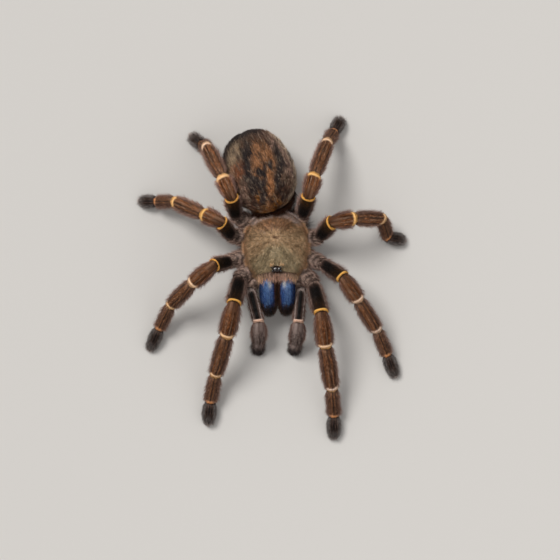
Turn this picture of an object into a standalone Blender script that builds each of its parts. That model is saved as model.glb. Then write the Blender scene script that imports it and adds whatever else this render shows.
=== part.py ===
"""A life-size, still model of a blue fang tarantula at rest on the ground.

Units are metres. The spider faces -Y, its own right side is -X, and +Z is up.
Everything is first built in the body frame, whose origin is on the floor under the
middle of the carapace, and is then moved so that the model's box stands on the origin.
"""

import math
import random

import bmesh
import bpy
from mathutils import Matrix, Vector
from mathutils.bvhtree import BVHTree

# Gap kept between two pieces that meet
GAP = 0.0003
UP = Vector((0, 0, 1))

# Carapace, seen from above as two superellipses joined at its widest line
CARAPACE_HALF_WIDTH = 0.0081
CARAPACE_WIDEST_Y = 0.0004
CARAPACE_REAR_REACH = 0.0083
CARAPACE_FRONT_REACH = 0.0095
CARAPACE_REAR_POWER = 2.2
CARAPACE_FRONT_POWER = 2.5
CLYPEUS_Y = -0.0077
CARAPACE_UNDERSIDE_Z = 0.0070
CARAPACE_MARGIN = 0.0006
CARAPACE_RISE = 0.0042
HEAD_BUMP = 0.0007
HEAD_BUMP_Y = -0.0040
HEAD_BUMP_REACH = 0.0034
FOVEA_Y = 0.0022
FOVEA_DEPTH = 0.0006
FOVEA_REACH = 0.0012
# The dome's section from its middle to its edge, and how its rings bunch at the edge
CARAPACE_DOME_POWER = 2.4
CARAPACE_EDGE_POWER = 0.6
CARAPACE_RING_POWER = 0.85

# Eye mound on the front of the carapace
EYE_MOUND_Y = -0.0058
EYE_MOUND_HALF = Vector((0.00125, 0.00095, 0.0010))
# Each pair of eyes: half spacing, place along the body, height above the carapace, radius
EYE_PAIRS = (
    (0.00042, -0.00030, 0.00078, 0.00032),
    (0.00105, -0.00050, 0.00040, 0.00030),
    (0.00100, 0.00040, 0.00045, 0.00027),
    (0.00062, 0.00042, 0.00066, 0.00020),
)

# Sternum plate under the body
STERNUM_HALF = Vector((0.0031, 0.0049, 0.0))
STERNUM_Y = -0.0003
STERNUM_BOTTOM_Z = 0.0029
# Rise of each level of its edge, and the share of the full outline there
STERNUM_LEVELS = ((0.0, 0.72), (0.0004, 0.92), (0.0018, 1.0), (0.0038, 1.0))

# Abdomen, swung to the spider's right
ABDOMEN_CENTRE = Vector((-0.0037, 0.0192, 0.0088))
ABDOMEN_HALF = Vector((0.0090, 0.0113, 0.0077))
ABDOMEN_SWING = math.radians(23)
ABDOMEN_POWER = 2.25
ABDOMEN_BELLY_FLAT = 0.80

PEDICEL_RADIUS = 0.0013
PEDICEL_ENDS = (Vector((0, 0.0040, 0.0052)), Vector((-0.0009, 0.0130, 0.0072)))

# Spinnerets, in the abdomen's own axes: place along it, height, share of the radius
SPINNERET_RADIUS = 0.00055
SPINNERET_X = 0.0014
SPINNERET_STATIONS = ((0.0062, -0.0052, 1.0), (0.0082, -0.0054, 0.95), (0.0103, -0.0046, 0.5))

# Chelicerae and fangs
CHELICERA_X = 0.00235
# Place along the body, height, tilt of the section in degrees, half width, half height
CHELICERA_STATIONS = (
    (-0.0081, 0.0083, 0, 0.00185, 0.0020),
    (-0.0090, 0.0083, 0, 0.00205, 0.0026),
    (-0.0113, 0.0078, 14, 0.00210, 0.0030),
    (-0.0138, 0.0068, 32, 0.00200, 0.0029),
    (-0.0154, 0.0058, 48, 0.00170, 0.0023),
    (-0.0163, 0.0050, 56, 0.00100, 0.0014),
)
FANG_X = 0.00219
FANG_RADIUS = 0.00075
# Place along the body, height, share of the radius
FANG_STATIONS = (
    (-0.0150, 0.0044, 1.00),
    (-0.0152, 0.0030, 1.00),
    (-0.0145, 0.0018, 0.92),
    (-0.0128, 0.0014, 0.75),
    (-0.0110, 0.0017, 0.50),
    (-0.0096, 0.0025, 0.22),
)

# Limb sections, and how far a joint's slanted section may be longer than a square one
LIMB_SIDES = 10
KNEE_STRETCH = 1.12
COXA_ROOT_Z = 0.0048
TROCHANTER_Z = 0.0064
PALP_TROCHANTER_Z = 0.0056

# Locks of the coat: flat, tapered, and bent along the lie of the hair
LOCK_SUNK = 0.00045
LOCK_THICKNESS = 0.00052
LOCK_CLEARANCE = 0.00038
LOCK_TILTS = (1.0, 0.75, 0.5)
LOCK_SEED = 27
LOCK_SHORTEST = 0.0012
# Longest lock as a share of its article's free stretch, and the step from row to row
LOCK_REACH = 0.62
LOCK_ROW_STEP = 0.42
# How far a lock's tip and its stand round the limb (in degrees) may stray
LOCK_TIP_STRAY = 0.0003
LOCK_STAND_STRAY = 9
# Share of a lock's length, rise, width and thickness, from its root to its tip
SHORT_LOCK = ((0.0, 0.0, 0.85, 1.0), (0.42, 0.42, 1.0, 1.0), (1.0, 1.0, 0.14, 0.35))
LONG_LOCK = ((0.0, 0.0, 0.8, 1.0), (0.3, 0.34, 1.0, 1.0), (0.68, 0.8, 0.7, 0.95), (1.0, 1.0, 0.1, 0.3))
LEG_LOCK = {"length": 0.0040, "width": 0.0013, "rise": 0.00085}
PALP_LOCK = {"length": 0.0028, "width": 0.0009, "rise": 0.00050}
ABDOMEN_LOCK = {"length": 0.0064, "width": 0.0018, "rise": 0.00095}
ABDOMEN_LOCK_COUNT = 64
ABDOMEN_LOCK_TOP = 0.97
ABDOMEN_LOCK_BOTTOM = -0.6
ABDOMEN_LOCK_REAR = 0.86
GOLDEN_TURN = math.radians(137.508)

# Rows of locks along each article, and where each lock of a row stands: 0 and 180 are
# the two sides of the limb and 90 is its top
LEG_LOCK_ROWS = {
    "femur": ((-5, 88, 185), (42, 138, 268)),
    "patella": ((-5, 92, 185), (42, 138, 272)),
    "tibia": ((-8, 86, 188), (44, 136, 270), (4, 94, 176)),
    "metatarsus": ((-5, 60, 120, 185),),
}
PALP_LOCK_ROWS = {"femur": ((-5, 88, 185), (42, 138, 268)), "tibia": ((-5, 60, 120, 185),)}

# How far a foot's pad would reach below the floor if its sole weren't cut flat
SOLE_CUT = 0.00022

# Lengths of femur, patella, tibia, metatarsus and tarsus of each pair of legs
LEG_LENGTHS = {
    "1": (0.0104, 0.0088, 0.0126, 0.0080, 0.0056),
    "2": (0.0092, 0.0075, 0.0106, 0.0078, 0.0058),
    "3": (0.0082, 0.0058, 0.0093, 0.0068, 0.0044),
    "4": (0.0094, 0.0058, 0.0104, 0.0073, 0.0042),
}
PALP_LENGTHS = (0.0096, 0.0030, 0.0042, 0.0046)

# Half width of each article of the first leg, with its short fur: base, middle and end
HALF_WIDTHS = {
    "coxa": (0.00190, 0.00245, 0.00205),
    "femur": (0.00190, 0.00225, 0.00205),
    "patella": (0.00200, 0.00245, 0.00205),
    "tibia": (0.00195, 0.00220, 0.00180),
    "metatarsus": (0.00175, 0.00190, 0.00175),
    "tarsus": (0.00175, 0.00195, 0.00120),
}
PALP_END_WIDTHS = {
    "tibia": (0.00235, 0.00300, 0.00310),
    "tarsus": (0.00225, 0.00260, 0.00160),
}
PAIR_WIDTH = {"1": 1.0, "2": 0.93, "3": 0.95, "4": 0.95, "palp": 0.68}
FOOT_STATIONS = (0.30, 0.62, 0.86, 1.0)

# Each leg's pose. The root is how far the end of the trochanter lies out from the midline
# and ahead of the body frame's origin. Each angle pair is a heading, from straight ahead
# (0) through straight out (90) to straight back (180), and a rise above the horizontal.
LEG_POSES = {
    "right_1": ((0.0095, 0.0079), ((13, 51), (15, -15), (18, -32), (13, -24)), 7),
    "left_1": ((0.0092, 0.0097), ((13, 42), (6, -13), (8, -26), (3, -26)), -2),
    "right_2": ((0.0122, 0.0035), ((75, 66), (52, -15), (47, -39), (29, -29)), 27),
    "left_2": ((0.0116, 0.0046), ((54, 47), (33, -19), (31, -28), (22, -25)), 19),
    "right_3": ((0.0115, -0.0032), ((145, 63), (117, -26), (115, -26), (94, -44)), 94),
    "left_3": ((0.0110, -0.0021), ((137, 54), (98, -2), (89, -38), (19, -45)), 77),
    "right_4": ((0.0101, -0.0080), ((170, 61), (157, 2), (154, -31), (128, -78)), 130),
    "left_4": ((0.0068, -0.0076), ((161, 58), (162, -10), (157, -26), (148, -62)), 150),
}
PALP_POSES = {
    "right_palp": ((0.0070, 0.0104), ((-13, 20), (0, -34), (3, -57)), 7),
    "left_palp": ((0.0062, 0.0106), ((-7, 20), (-4, -32), (-9, -53)), -13),
}

# Where each coxa leaves the edge of the sternum: out and ahead
COXA_ROOTS = {
    "palp": (0.0022, 0.0046),
    "1": (0.0028, 0.0031),
    "2": (0.0031, 0.0009),
    "3": (0.0031, -0.0015),
    "4": (0.0025, -0.0036),
}
SIDES = {"right": -1, "left": 1}

# Colour, metallic and roughness of each finish
FINISHES = {
    "olive_shell": ((0.14, 0.12, 0.055), 0.0, 0.6),
    "brown_coat": ((0.10, 0.055, 0.033), 0.0, 0.75),
    "dark_coat": ((0.022, 0.017, 0.013), 0.0, 0.75),
    "foot_coat": ((0.06, 0.052, 0.055), 0.0, 0.7),
    "abdomen_coat": ((0.13, 0.075, 0.04), 0.0, 0.8),
    "blue_shell": ((0.02, 0.09, 0.36), 0.3, 0.35),
    "fang": ((0.01, 0.008, 0.007), 0.0, 0.2),
    "eye": ((0.008, 0.007, 0.006), 0.0, 0.08),
    "pale_skin": ((0.22, 0.15, 0.12), 0.0, 0.65),
}


def clear_scene():
    for obj in list(bpy.data.objects):
        bpy.data.objects.remove(obj)


def make_finishes():
    made = {}
    for name, (colour, metallic, roughness) in FINISHES.items():
        material = bpy.data.materials.new(name)
        material.use_nodes = True
        shader = material.node_tree.nodes["Principled BSDF"]
        shader.inputs["Base Color"].default_value = (*colour, 1.0)
        shader.inputs["Metallic"].default_value = metallic
        shader.inputs["Roughness"].default_value = roughness
        made[name] = material
    return made


def add_object(name, bm, finish, frame):
    """A named object from a bmesh, smooth but for its sharp edges, in the body frame."""
    bmesh.ops.recalc_face_normals(bm, faces=bm.faces)
    mesh = bpy.data.meshes.new(name)
    bm.to_mesh(mesh)
    bm.free()
    mesh.shade_smooth()
    mesh.set_sharp_from_angle(angle=math.radians(50))
    mesh.materials.append(finish)
    obj = bpy.data.objects.new(name, mesh)
    bpy.context.scene.collection.objects.link(obj)
    obj.parent = frame
    return obj


def swept(sections, sides=LIMB_SIDES):
    """A closed tube: a unit circle placed by each section's matrix in turn, by extrusion."""
    bm = bmesh.new()
    bmesh.ops.create_circle(bm, cap_ends=True, segments=sides, radius=1.0)
    bmesh.ops.transform(bm, matrix=sections[0], verts=bm.verts)
    end = list(bm.faces)[0]
    for before, after in zip(sections, sections[1:]):
        grown = bmesh.ops.extrude_face_region(bm, geom=[end, *end.edges])
        verts = [item for item in grown["geom"] if isinstance(item, bmesh.types.BMVert)]
        end = [item for item in grown["geom"] if isinstance(item, bmesh.types.BMFace)][0]
        bmesh.ops.transform(bm, matrix=after @ before.inverted(), verts=verts)
    return bm


def section(centre, along, up_hint, half_width, half_height, cut_normal=None):
    """Matrix that lays the unit circle across a limb, sheared into the plane of a joint."""
    along = along.normalized()
    normal = cut_normal.normalized() if cut_normal else along
    up = (up_hint - along * up_hint.dot(along)).normalized()
    side = along.cross(up)
    spans = []
    for span in (side * half_width, up * half_height):
        sheared = span - along * (span.dot(normal) / along.dot(normal))
        stretch = min(sheared.length, span.length * KNEE_STRETCH)
        spans.append(sheared.normalized() * stretch)
    return matrix_of(spans[0], spans[1], along * half_width, centre)


def matrix_of(x_axis, y_axis, z_axis, centre):
    matrix = Matrix((x_axis, y_axis, z_axis)).transposed().to_4x4()
    matrix.translation = centre
    return matrix


def round_sections(points, radii, up_hint):
    """Sections of a round tube that bends through the points."""
    sections = []
    for index, (point, radius) in enumerate(zip(points, radii)):
        along = points[min(index + 1, len(points) - 1)] - points[max(index - 1, 0)]
        sections.append(section(point, along, up_hint, radius, radius))
    return sections


def cut_flat(bm, point, normal):
    """Removes what lies on the normal's side of a plane and closes the cut."""
    bmesh.ops.bisect_plane(
        bm, geom=[*bm.verts, *bm.edges, *bm.faces], plane_co=point, plane_no=normal,
        clear_outer=True,
    )
    rim = [edge for edge in bm.edges if edge.is_boundary]
    if rim:
        bmesh.ops.holes_fill(bm, edges=rim)


def swollen_copy(obj, by):
    """A hidden copy of an object whose faces stand out by the gap, used as a cutter."""
    bm = bmesh.new()
    bm.from_mesh(obj.data)
    bm.normal_update()
    moved = [v.co + v.normal * (by * v.calc_shell_factor()) for v in bm.verts]
    for vert, place in zip(bm.verts, moved):
        vert.co = place
    mesh = bpy.data.meshes.new(obj.name + "_cutter")
    bm.to_mesh(mesh)
    bm.free()
    cutter = bpy.data.objects.new(mesh.name, mesh)
    bpy.context.scene.collection.objects.link(cutter)
    cutter.parent = obj.parent
    cutter.hide_render = True
    cutter.display_type = "WIRE"
    return cutter


def apply_boolean(obj, other, operation):
    modifier = obj.modifiers.new(operation.lower(), "BOOLEAN")
    modifier.operation = operation
    modifier.solver = "EXACT"
    modifier.object = other
    apply_modifiers(obj)


def apply_modifiers(obj):
    bpy.context.view_layer.update()
    graph = bpy.context.evaluated_depsgraph_get()
    mesh = bpy.data.meshes.new_from_object(obj.evaluated_get(graph))
    obj.modifiers.clear()
    obj.data = mesh


def keep_largest_surface(obj):
    """Leaves only the closed surface that holds the most volume."""
    bm = bmesh.new()
    bm.from_mesh(obj.data)
    bmesh.ops.triangulate(bm, faces=bm.faces)
    unseen = set(bm.faces)
    shells = []
    while unseen:
        reach = [unseen.pop()]
        shell = []
        while reach:
            face = reach.pop()
            shell.append(face)
            for edge in face.edges:
                for other in edge.link_faces:
                    if other in unseen:
                        unseen.remove(other)
                        reach.append(other)
        shells.append(shell)
    shells.sort(key=shell_volume)
    loose = {vert for shell in shells[:-1] for face in shell for vert in face.verts}
    bmesh.ops.delete(bm, geom=list(loose), context="VERTS")
    bm.to_mesh(obj.data)
    bm.free()


def shell_volume(faces):
    total = 0.0
    for face in faces:
        a, b, c = (vert.co for vert in face.verts)
        total += a.dot(b.cross(c)) / 6
    return total


def stand_clear(obj, neighbours, gap=GAP):
    """Cuts an object back so that it meets its neighbours face to face with a small gap."""
    for neighbour in neighbours:
        cutter = swollen_copy(neighbour, gap)
        apply_boolean(obj, cutter, "DIFFERENCE")
        bpy.data.objects.remove(cutter)
    keep_largest_surface(obj)


def planform_radius(x, y):
    """0 at the middle of the carapace and 1 on its outline before the front is cut off."""
    ahead = y < CARAPACE_WIDEST_Y
    reach = CARAPACE_FRONT_REACH if ahead else CARAPACE_REAR_REACH
    power = CARAPACE_FRONT_POWER if ahead else CARAPACE_REAR_POWER
    across = abs(x) / CARAPACE_HALF_WIDTH
    along = abs(y - CARAPACE_WIDEST_Y) / reach
    return (across**power + along**power) ** (1 / power)


def carapace_height(x, y):
    """Height of the carapace's upper surface."""
    slope = max(0.0, 1 - planform_radius(x, y) ** CARAPACE_DOME_POWER) ** CARAPACE_EDGE_POWER
    base = CARAPACE_UNDERSIDE_Z + CARAPACE_MARGIN + CARAPACE_RISE * slope
    head = HEAD_BUMP * math.exp(-(x**2 + (y - HEAD_BUMP_Y) ** 2) / HEAD_BUMP_REACH**2)
    pit = FOVEA_DEPTH * math.exp(-(x**2 + (y - FOVEA_Y) ** 2) / FOVEA_REACH**2)
    return base + head * slope - pit


def make_carapace(finishes, frame):
    bm = bmesh.new()
    bmesh.ops.create_uvsphere(bm, u_segments=32, v_segments=16, radius=1.0)
    cut_flat(bm, Vector((0, 0, 0)), Vector((0, 0, -1)))
    for vert in bm.verts:
        # The sphere's rings become rings in plan, closer together towards the edge.
        polar = math.acos(max(-1.0, min(1.0, vert.co.z))) / (math.pi / 2)
        turn = math.atan2(vert.co.y, vert.co.x)
        out = Vector((math.cos(turn), math.sin(turn)))
        edge = 1 / planform_radius(out.x, out.y + CARAPACE_WIDEST_Y)
        x, y = out * (edge * polar**CARAPACE_RING_POWER)
        y += CARAPACE_WIDEST_Y
        vert.co = (x, y, carapace_height(x, y))
    underside = max(bm.faces, key=lambda face: len(face.verts))
    grown = bmesh.ops.extrude_face_region(bm, geom=[underside, *underside.edges])
    lowered = [item for item in grown["geom"] if isinstance(item, bmesh.types.BMVert)]
    bmesh.ops.translate(bm, vec=Vector((0, 0, -CARAPACE_MARGIN)), verts=lowered)
    cut_flat(bm, Vector((0, CLYPEUS_Y, 0)), Vector((0, -1, 0)))
    return add_object("carapace", bm, finishes["olive_shell"], frame)


def make_eye_mound(finishes, frame, carapace):
    """The low mound that carries four pairs of eyes."""
    top = carapace_height(0, EYE_MOUND_Y)
    bm = bmesh.new()
    bmesh.ops.create_uvsphere(bm, u_segments=12, v_segments=8, radius=1.0)
    place = Matrix.Translation((0, EYE_MOUND_Y, top)) @ Matrix.Diagonal((*EYE_MOUND_HALF, 1.0))
    bmesh.ops.transform(bm, matrix=place, verts=bm.verts)
    mound = add_object("eye_mound", bm, finishes["eye"], frame)
    for half_spacing, ahead, above, radius in EYE_PAIRS:
        for side in SIDES.values():
            eye_bm = bmesh.new()
            bmesh.ops.create_icosphere(eye_bm, subdivisions=1, radius=radius)
            centre = Vector((side * half_spacing, EYE_MOUND_Y + ahead, top + above))
            bmesh.ops.translate(eye_bm, vec=centre, verts=eye_bm.verts)
            eye = add_object("eye", eye_bm, finishes["eye"], frame)
            apply_boolean(mound, eye, "UNION")
            bpy.data.objects.remove(eye)
    stand_clear(mound, [carapace])
    return mound


def make_sternum(finishes, frame, carapace):
    """The breastplate, a low drum that the coxae stand round."""
    sections = []
    for rise, spread in STERNUM_LEVELS:
        half = STERNUM_HALF * spread
        centre = Vector((0, STERNUM_Y, STERNUM_BOTTOM_Z + rise))
        axes = (Vector((half.x, 0, 0)), Vector((0, half.y, 0)), Vector((0, 0, half.x)))
        sections.append(matrix_of(*axes, centre))
    bm = swept(sections, sides=20)
    sternum = add_object("sternum", bm, finishes["dark_coat"], frame)
    stand_clear(sternum, [carapace])
    return sternum


def abdomen_matrix():
    swing = Matrix.Rotation(ABDOMEN_SWING, 4, "Z")
    return Matrix.Translation(ABDOMEN_CENTRE) @ swing


def plan_spread(across, ahead):
    """How far the abdomen's outline, seen from above, stands outside an ellipse."""
    return (abs(across) ** ABDOMEN_POWER + abs(ahead) ** ABDOMEN_POWER) ** (-1 / ABDOMEN_POWER)


def abdomen_point(unit):
    """A point of the abdomen for a point of the unit sphere, in the abdomen's own axes."""
    level = max(math.hypot(unit.x, unit.y), 1e-9)
    spread = plan_spread(unit.x / level, unit.y / level)
    drop = ABDOMEN_BELLY_FLAT if unit.z < 0 else 1.0
    return Vector((
        unit.x * ABDOMEN_HALF.x * spread,
        unit.y * ABDOMEN_HALF.y * spread,
        unit.z * ABDOMEN_HALF.z * drop,
    ))


def make_abdomen(finishes, frame):
    bm = bmesh.new()
    bmesh.ops.create_uvsphere(bm, u_segments=24, v_segments=14, radius=1.0)
    bmesh.ops.rotate(bm, cent=(0, 0, 0), matrix=Matrix.Rotation(math.radians(90), 3, "X"),
                     verts=bm.verts)
    for vert in bm.verts:
        vert.co = abdomen_matrix() @ abdomen_point(vert.co.normalized())
    return add_object("abdomen", bm, finishes["abdomen_coat"], frame)


def lock_sections(form, lie, size, tilt):
    """Sections of a lock from its form, its surface points and normals, and its size."""
    centres = []
    for (_, up, _, _), (point, out) in zip(form, lie):
        centres.append(point + out * (size["rise"] * tilt * up))
    centres[0] -= lie[0][1] * LOCK_SUNK
    last = len(centres) - 1
    sections = []
    for index, (_, _, wide, thick) in enumerate(form):
        along = centres[min(index + 1, last)] - centres[max(index - 1, 0)]
        half_width = size["width"] * wide / 2
        half_thickness = LOCK_THICKNESS * thick / 2
        lay = section(centres[index], along, lie[index][1], half_width, half_thickness)
        sections.append(lay @ Matrix.Rotation(math.pi / 4, 4, "Z") @ Matrix.Scale(2**0.5, 4))
    return sections


def tree_of(obj):
    bm = bmesh.new()
    bm.from_mesh(obj.data)
    tree = BVHTree.FromBMesh(bm)
    bm.free()
    return tree


def keeps_clear(bm, node_name, trees):
    """Whether a lock stands clear of the floor and of every other node and its locks."""
    if min(vert.co.z for vert in bm.verts) < LOCK_CLEARANCE:
        return False
    own = BVHTree.FromBMesh(bm)
    places = [
        edge.verts[0].co.lerp(edge.verts[1].co, share)
        for edge in bm.edges
        for share in (0, 0.25, 0.5, 0.75, 1)
    ]
    for other_name, tree in trees:
        if other_name == node_name:
            continue
        if own.overlap(tree):
            return False
        if any(tree.find_nearest(place, LOCK_CLEARANCE)[0] for place in places):
            return False
    return True


def join_locks(obj, form, lies, trees, finishes, frame):
    """Grows a lock along each lie that has room and fuses them all with the node."""
    locks = bpy.data.collections.new(obj.name + "_locks")
    bpy.context.scene.collection.children.link(locks)
    for lie, size in lies:
        for tilt in LOCK_TILTS:
            bm = swept(lock_sections(form, lie, size, tilt), sides=4)
            if keeps_clear(bm, obj.name, trees):
                lock = add_object("lock", bm, finishes["brown_coat"], frame)
                bpy.context.scene.collection.objects.unlink(lock)
                locks.objects.link(lock)
                trees.append((obj.name, tree_of(lock)))
                break
            bm.free()
    if locks.objects:
        modifier = obj.modifiers.new("coat", "BOOLEAN")
        modifier.operation = "UNION"
        modifier.solver = "EXACT"
        modifier.operand_type = "COLLECTION"
        modifier.collection = locks
        apply_modifiers(obj)
        keep_largest_surface(obj)
    for lock in list(locks.objects):
        bpy.data.objects.remove(lock)
    bpy.data.collections.remove(locks)


def varied(size, draw):
    """A lock's size with the small differences that real ones have."""
    spans = {"length": (0.88, 1.0), "width": (0.85, 1.15), "rise": (0.75, 1.15)}
    return {name: value * draw.uniform(*spans[name]) for name, value in size.items()}


def limb_lies(joints, index, widths, rows, size, draw):
    """Surface points, normals and size of each lock on one article of a limb."""
    start, end = joints[index], joints[index + 1]
    length = (end - start).length
    along = (end - start) / length
    side = along.cross(UP).normalized()
    up = side.cross(along)
    low, high = free_stretch(joints, index, widths)
    lies = []
    for row, stands in enumerate(rows):
        for stand in stands:
            own = varied(size, draw)
            own["length"] = min(own["length"], LOCK_REACH * (high - low))
            own["rise"] *= min(1.0, own["length"] / (0.8 * size["length"]))
            tip = high - (high - low) * LOCK_ROW_STEP * (1 - row / max(1, len(rows) - 1))
            tip -= draw.uniform(0, LOCK_TIP_STRAY)
            turn = math.radians(stand + draw.uniform(-LOCK_STAND_STRAY, LOCK_STAND_STRAY))
            out = side * math.cos(turn) + up * math.sin(turn)
            lie = []
            for go, _, _, _ in SHORT_LOCK:
                reach = tip - own["length"] * (1 - go)
                half = half_width_at(widths, reach / length)
                lie.append((start + along * reach + out * half, out))
            if own["length"] > LOCK_SHORTEST:
                lies.append((lie, own))
    return lies


def abdomen_normal(local):
    drop = ABDOMEN_BELLY_FLAT if local.z < 0 else 1.0
    slopes = (
        local.x / ABDOMEN_HALF.x**2, local.y / ABDOMEN_HALF.y**2,
        local.z / (ABDOMEN_HALF.z * drop) ** 2,
    )
    return Vector(slopes).normalized()


def onto_abdomen(local):
    """The point of the abdomen's surface next to a point in the abdomen's own axes."""
    drop = ABDOMEN_BELLY_FLAT if local.z < 0 else 1.0
    x, y = local.x / ABDOMEN_HALF.x, local.y / ABDOMEN_HALF.y
    level = max(math.hypot(x, y), 1e-9)
    spread = plan_spread(x / level, y / level)
    unit = Vector((x / spread, y / spread, local.z / (ABDOMEN_HALF.z * drop)))
    return abdomen_point(unit.normalized())


def abdomen_lies(draw):
    """Locks spread evenly over the abdomen by the golden angle, lying rearwards."""
    place = abdomen_matrix()
    turn_only = place.to_3x3()
    lies = []
    for index in range(ABDOMEN_LOCK_COUNT):
        share = (index + 0.5) / ABDOMEN_LOCK_COUNT
        level = ABDOMEN_LOCK_TOP + (ABDOMEN_LOCK_BOTTOM - ABDOMEN_LOCK_TOP) * share
        around = math.sqrt(1 - level**2)
        turn = index * GOLDEN_TURN
        unit = Vector((around * math.cos(turn), around * math.sin(turn), level))
        size = varied(ABDOMEN_LOCK, draw)
        local = abdomen_point(unit)
        lie = []
        gone = 0.0
        for go, _, _, _ in LONG_LOCK:
            if go > 0:
                rearward = Vector((0, 1, 0)) - normal * normal.y
                step = rearward.normalized() * (size["length"] * (go - gone))
                local = onto_abdomen(local + step)
                gone = go
            normal = abdomen_normal(local)
            lie.append((place @ local, turn_only @ normal))
        if unit.y < ABDOMEN_LOCK_REAR:
            lies.append((lie, size))
    return lies


def make_pedicel(finishes, frame, sternum, abdomen, carapace):
    """The narrow waist between the sternum and the abdomen."""
    start, end = PEDICEL_ENDS
    along = end - start
    sections = [
        section(start.lerp(end, part), along, UP, PEDICEL_RADIUS, PEDICEL_RADIUS)
        for part in (0.0, 0.5, 1.0)
    ]
    pedicel = add_object("pedicel", swept(sections), finishes["pale_skin"], frame)
    stand_clear(pedicel, [sternum, abdomen, carapace])
    return pedicel


def make_chelicera(name, side, finishes, frame, carapace):
    """The stout blue basal part of one jaw."""
    sections = []
    for y, z, tilt, half_width, half_height in CHELICERA_STATIONS:
        angle = math.radians(tilt)
        along = Vector((0, -math.cos(angle), -math.sin(angle)))
        centre = Vector((side * CHELICERA_X, y, z))
        sections.append(section(centre, along, UP, half_width, half_height))
    chelicera = add_object(name, swept(sections, sides=14), finishes["blue_shell"], frame)
    stand_clear(chelicera, [carapace])
    return chelicera


def make_fang(name, side, finishes, frame, chelicera):
    """The fang, folded back under its chelicera."""
    points = [Vector((side * FANG_X, y, z)) for y, z, _ in FANG_STATIONS]
    radii = [FANG_RADIUS * share for _, _, share in FANG_STATIONS]
    bm = swept(round_sections(points, radii, Vector((0, 1, 0.4))), sides=8)
    fang = add_object(name, bm, finishes["fang"], frame)
    stand_clear(fang, [chelicera])
    return fang


def make_spinneret(name, side, finishes, frame, abdomen):
    """One of the two long spinnerets under the rear of the abdomen."""
    place = abdomen_matrix()
    points = [place @ Vector((side * SPINNERET_X, y, z)) for y, z, _ in SPINNERET_STATIONS]
    radii = [SPINNERET_RADIUS * share for _, _, share in SPINNERET_STATIONS]
    bm = swept(round_sections(points, radii, UP), sides=8)
    spinneret = add_object(name, bm, finishes["brown_coat"], frame)
    stand_clear(spinneret, [abdomen])
    return spinneret


def reach_along(heading, rise, side):
    """Unit vector of a limb article from its heading and its rise, in degrees."""
    heading, rise = math.radians(heading), math.radians(rise)
    flat = math.cos(rise)
    return Vector((side * math.sin(heading) * flat, -math.cos(heading) * flat, math.sin(rise)))


def limb_joints(root, root_z, lengths, angles, foot_heading, side, foot_widths):
    """Joints of a limb from the trochanter's end to the tip, with the foot on the floor."""
    joints = [Vector((side * root[0], -root[1], root_z))]
    for length, (heading, rise) in zip(lengths, angles):
        joints.append(joints[-1] + reach_along(heading, rise, side) * length)
    foot = lengths[len(angles)]
    tip_z = foot_widths[2]
    for _ in range(6):
        rise = math.degrees(math.asin((tip_z - joints[-1].z) / foot))
        tip = joints[-1] + reach_along(foot_heading, rise, side) * foot
        pad = article([*joints, tip], len(angles), foot_widths, FOOT_STATIONS)
        lowest = min(lay.translation.z - math.hypot(lay[2][0], lay[2][1]) for lay in pad)
        tip_z -= lowest + SOLE_CUT
    return [*joints, tip]


def bends_of(joints, index):
    """The bends at the ends of an article: its end, half the bend, and the plane's normal."""
    start, end = joints[index], joints[index + 1]
    along = (end - start).normalized()
    bends = []
    if index > 0:
        before = (start - joints[index - 1]).normalized()
        bends.append((0, along.angle(before) / 2, along + before))
    if index + 2 < len(joints):
        after = (joints[index + 2] - end).normalized()
        bends.append((1, along.angle(after) / 2, along + after))
    return bends


def article(joints, index, widths, stations):
    """Sections of one article, from its joint at index to the next one.

    The stations between its ends are shares of the stretch that both bends leave free.
    The first and the last section at a joint lie in the plane that halves the bend there.
    """
    start, end = joints[index], joints[index + 1]
    length = (end - start).length
    along = (end - start) / length
    normals = [None, None]
    taken = [0.0, 0.0]
    held_back = [0.0, 0.0]
    for place, half_bend, normal in bends_of(joints, index):
        normals[place] = normal
        taken[place] = half_width_at(widths, place) * math.tan(half_bend)
        held_back[place] = GAP / 2 / math.cos(half_bend)
    sections = []
    for share in stations:
        normal = None
        if share in (0, 1):
            normal = normals[int(share)]
            reach = length - held_back[1] if share else held_back[0]
        else:
            reach = taken[0] + share * (length - taken[0] - taken[1])
        half = half_width_at(widths, reach / length)
        sections.append(section(start + along * reach, along, UP, half, half, normal))
    return sections


def free_stretch(joints, index, widths):
    """From where to where along an article a lock may lie without passing a bent joint."""
    reaches = [0.0, (joints[index + 1] - joints[index]).length]
    for place, half_bend, _ in bends_of(joints, index):
        half = half_width_at(widths, place) + place * LEG_LOCK["rise"]
        taken = half * math.tan(half_bend) + 2 * GAP
        reaches[place] += -taken if place else taken
    return reaches


def half_width_at(widths, share):
    """A half width along an article, by a parabola through its base, middle and end."""
    base, middle, end = widths
    curve = 2 * (base + end - 2 * middle)
    return base + (end - base) * share - curve * share * (1 - share)


def two_articles(joints, index, first_widths, first_stations, last_widths, last_stations):
    """Sections of two articles in one piece, with one section across the joint."""
    first = article(joints, index, first_widths, first_stations)
    last = article(joints, index + 1, last_widths, last_stations)
    bend = (joints[index + 1] - joints[index]).normalized()
    bend += (joints[index + 2] - joints[index + 1]).normalized()
    half = last_widths[0]
    middle = section(joints[index + 1], bend, UP, half, half)
    return [*first, middle, *last]


def cut_between_coxae(bm, own, other):
    """Trims a coxa half a gap short of the upright plane halfway to the next coxa."""
    near = (own[0] + other[0]) / 2
    far = (own[1] + other[1]) / 2
    normal = (far - near).cross(UP).normalized()
    if normal.dot(other[1] - own[1]) < 0:
        normal = -normal
    cut_flat(bm, near - normal * (GAP / 2), normal)


def limb_widths(which):
    """Half widths of each article of one pair of limbs."""
    scale = PAIR_WIDTH[which]
    table = {**HALF_WIDTHS, **PALP_END_WIDTHS} if which == "palp" else HALF_WIDTHS
    return {name: tuple(scale * width for width in widths) for name, widths in table.items()}


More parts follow.
